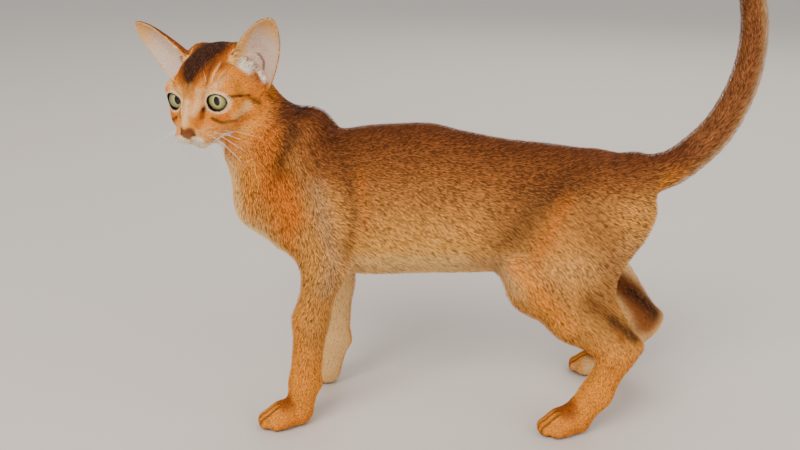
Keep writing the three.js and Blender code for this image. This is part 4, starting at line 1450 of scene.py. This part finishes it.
def ball_mesh(rows, spokes, radius):
    """The points and triangles of a ball around z, finer towards its front."""
    polar = np.linspace(0, 1, rows + 1)[1:-1] ** 1.3 * math.pi
    around = np.arange(spokes) / spokes * 2 * math.pi
    a, t = (grid.ravel() for grid in np.meshgrid(polar, around, indexing="ij"))
    points = np.stack([np.sin(a) * np.cos(t), np.sin(a) * np.sin(t), np.cos(a)], 1)
    points = np.vstack([(0, 0, 1), points, (0, 0, -1)]) * radius
    ring = 1 + np.arange(len(polar))[:, None] * spokes + np.arange(spokes)
    onward = np.roll(ring, -1, 1)
    quads = np.stack([ring[:-1], ring[1:], onward[1:], onward[:-1]], 2).reshape(-1, 4)
    front = np.stack([np.zeros(spokes, int), ring[0], onward[0]], 1)
    back = np.stack([np.full(spokes, len(points) - 1), onward[-1], ring[-1]], 1)
    return points, np.concatenate([quads[:, :3], quads[:, [0, 2, 3]], front, back])


def iris_colours(points):
    """An upright oval pupil, and around it the iris's rings with fine fibres."""
    across, high = points[:, 0], points[:, 1]
    spoke = np.arctan2(high, across)
    out = np.hypot(across, high)
    fibre = 0.5 + 0.5 * np.sin(61 * spoke + 5 * np.sin(7 * spoke) + 3 * out)
    far = np.sqrt((across / PUPIL_WIDE) ** 2 + (high / PUPIL_HIGH) ** 2)
    blend = smooth(1, 1.9, far)
    far = far * (1 - blend) + np.maximum(out / IRIS_UNIT, 1.06) * blend
    far = np.where(points[:, 2] > 0, far, 4)
    return ramp(IRIS_RINGS, far, 1) * (0.78 + 0.35 * fibre)[:, None]


def add_eye(side):
    """An eye ball with its iris and pupil, looking where both eyes do."""
    made, faces = ball_mesh(EYE_ROWS, EYE_SPOKES, EYE_RADIUS)
    points = from_head(made @ eye_axes(side, GAZE_AZIMUTH, GAZE_RISE).T + eye_centre(side))
    name = "eye_left" if side > 0 else "eye_right"
    piece = new_mesh(f"{name}_ball", points, faces, MATERIALS["eye"], iris_colours(made))
    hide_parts(name)


# ---------------------------------------------------------------- the whiskers

WHISKER_ROWS, WHISKERS_IN_ROW, BROW_HAIRS = 3, 4, 3
WHISKER_STEPS, WHISKER_SIDES, WHISKER_RADIUS = 9, 3, 0.17


def whisker_plan():
    """Each hair's root and direction in the head's frame, its length, and its droop to the length."""
    hairs = []
    for side in SIDES:
        for row, k in np.ndindex(WHISKER_ROWS, WHISKERS_IN_ROW):
            root = (21.5 - 3.3 * k, side * (12 + 2.2 * k), -20.5 - 2.7 * row)
            away = (0.05 - 0.33 * k, side * 0.9, -0.15 - 0.6 * row)
            hairs.append((root, away, 26 + 6.5 * k - 2 * row, 0.25))
        for k in range(BROW_HAIRS):
            root = (9 - 2 * k, side * (15 + 3 * k), 14)
            hairs.append((root, (0.25 - 0.3 * k, side * (0.3 + 0.2 * k), 1), 17, 0.3))
    return hairs


def hair_points(root, away, length, droop):
    """A tapered and drooping hair: lines of points along it, one for each of its sides."""
    forward = HEAD_AXES @ unit(away)
    aside = unit(np.cross(forward, (0, 0, 1)))
    upward = np.cross(aside, forward)
    t = np.linspace(0, 1, WHISKER_STEPS)[:, None]
    sway, _ = rng.normal(0, 0.05, 2)
    sunk = np.array([0, 0, droop * length]) * t**2
    line = from_head(root) + (forward + sway * aside * t) * length * t - sunk
    radius = WHISKER_RADIUS * (1 - 0.85 * t)
    angles = np.arange(WHISKER_SIDES) * 2 * math.pi / WHISKER_SIDES
    return np.vstack([line + radius * (aside * math.cos(a) + upward * math.sin(a)) for a in angles])


def hair_faces():
    """The triangles between a hair's lines, and the two that close its ends."""
    faces = []
    for step, c in np.ndindex(WHISKER_STEPS - 1, WHISKER_SIDES):
        a, b = c * WHISKER_STEPS + step, (c + 1) % WHISKER_SIDES * WHISKER_STEPS + step
        faces += [(a, b, b + 1), (a, b + 1, a + 1)]
    ends = np.arange(WHISKER_SIDES) * WHISKER_STEPS
    return np.array([*faces, ends[[0, 2, 1]], ends + WHISKER_STEPS - 1])


def add_whiskers():
    """Long tapered hairs from both whisker pads and over the eyes."""
    hairs = [hair_points(*hair) for hair in whisker_plan()]
    faces = np.concatenate([hair_faces() + WHISKER_SIDES * WHISKER_STEPS * at for at in range(len(hairs))])
    new_mesh("whiskers", np.concatenate(hairs), faces, MATERIALS["whisker"])


# ---------------------------------------------------------------- the whole scene

set_camera()
set_studio()
points, faces = surface_net(sampled())
points = pulled(points)
normals = normals_of(points, faces)
whole = new_mesh("skin", points, faces, MATERIALS["skin"], markings(points, normals)[0] * 0.8)
FLESH = [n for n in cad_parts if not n.startswith("eye")]
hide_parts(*FLESH)
add_coat(points, normals, faces)
for side in SIDES:
    add_eye(side)
add_whiskers()
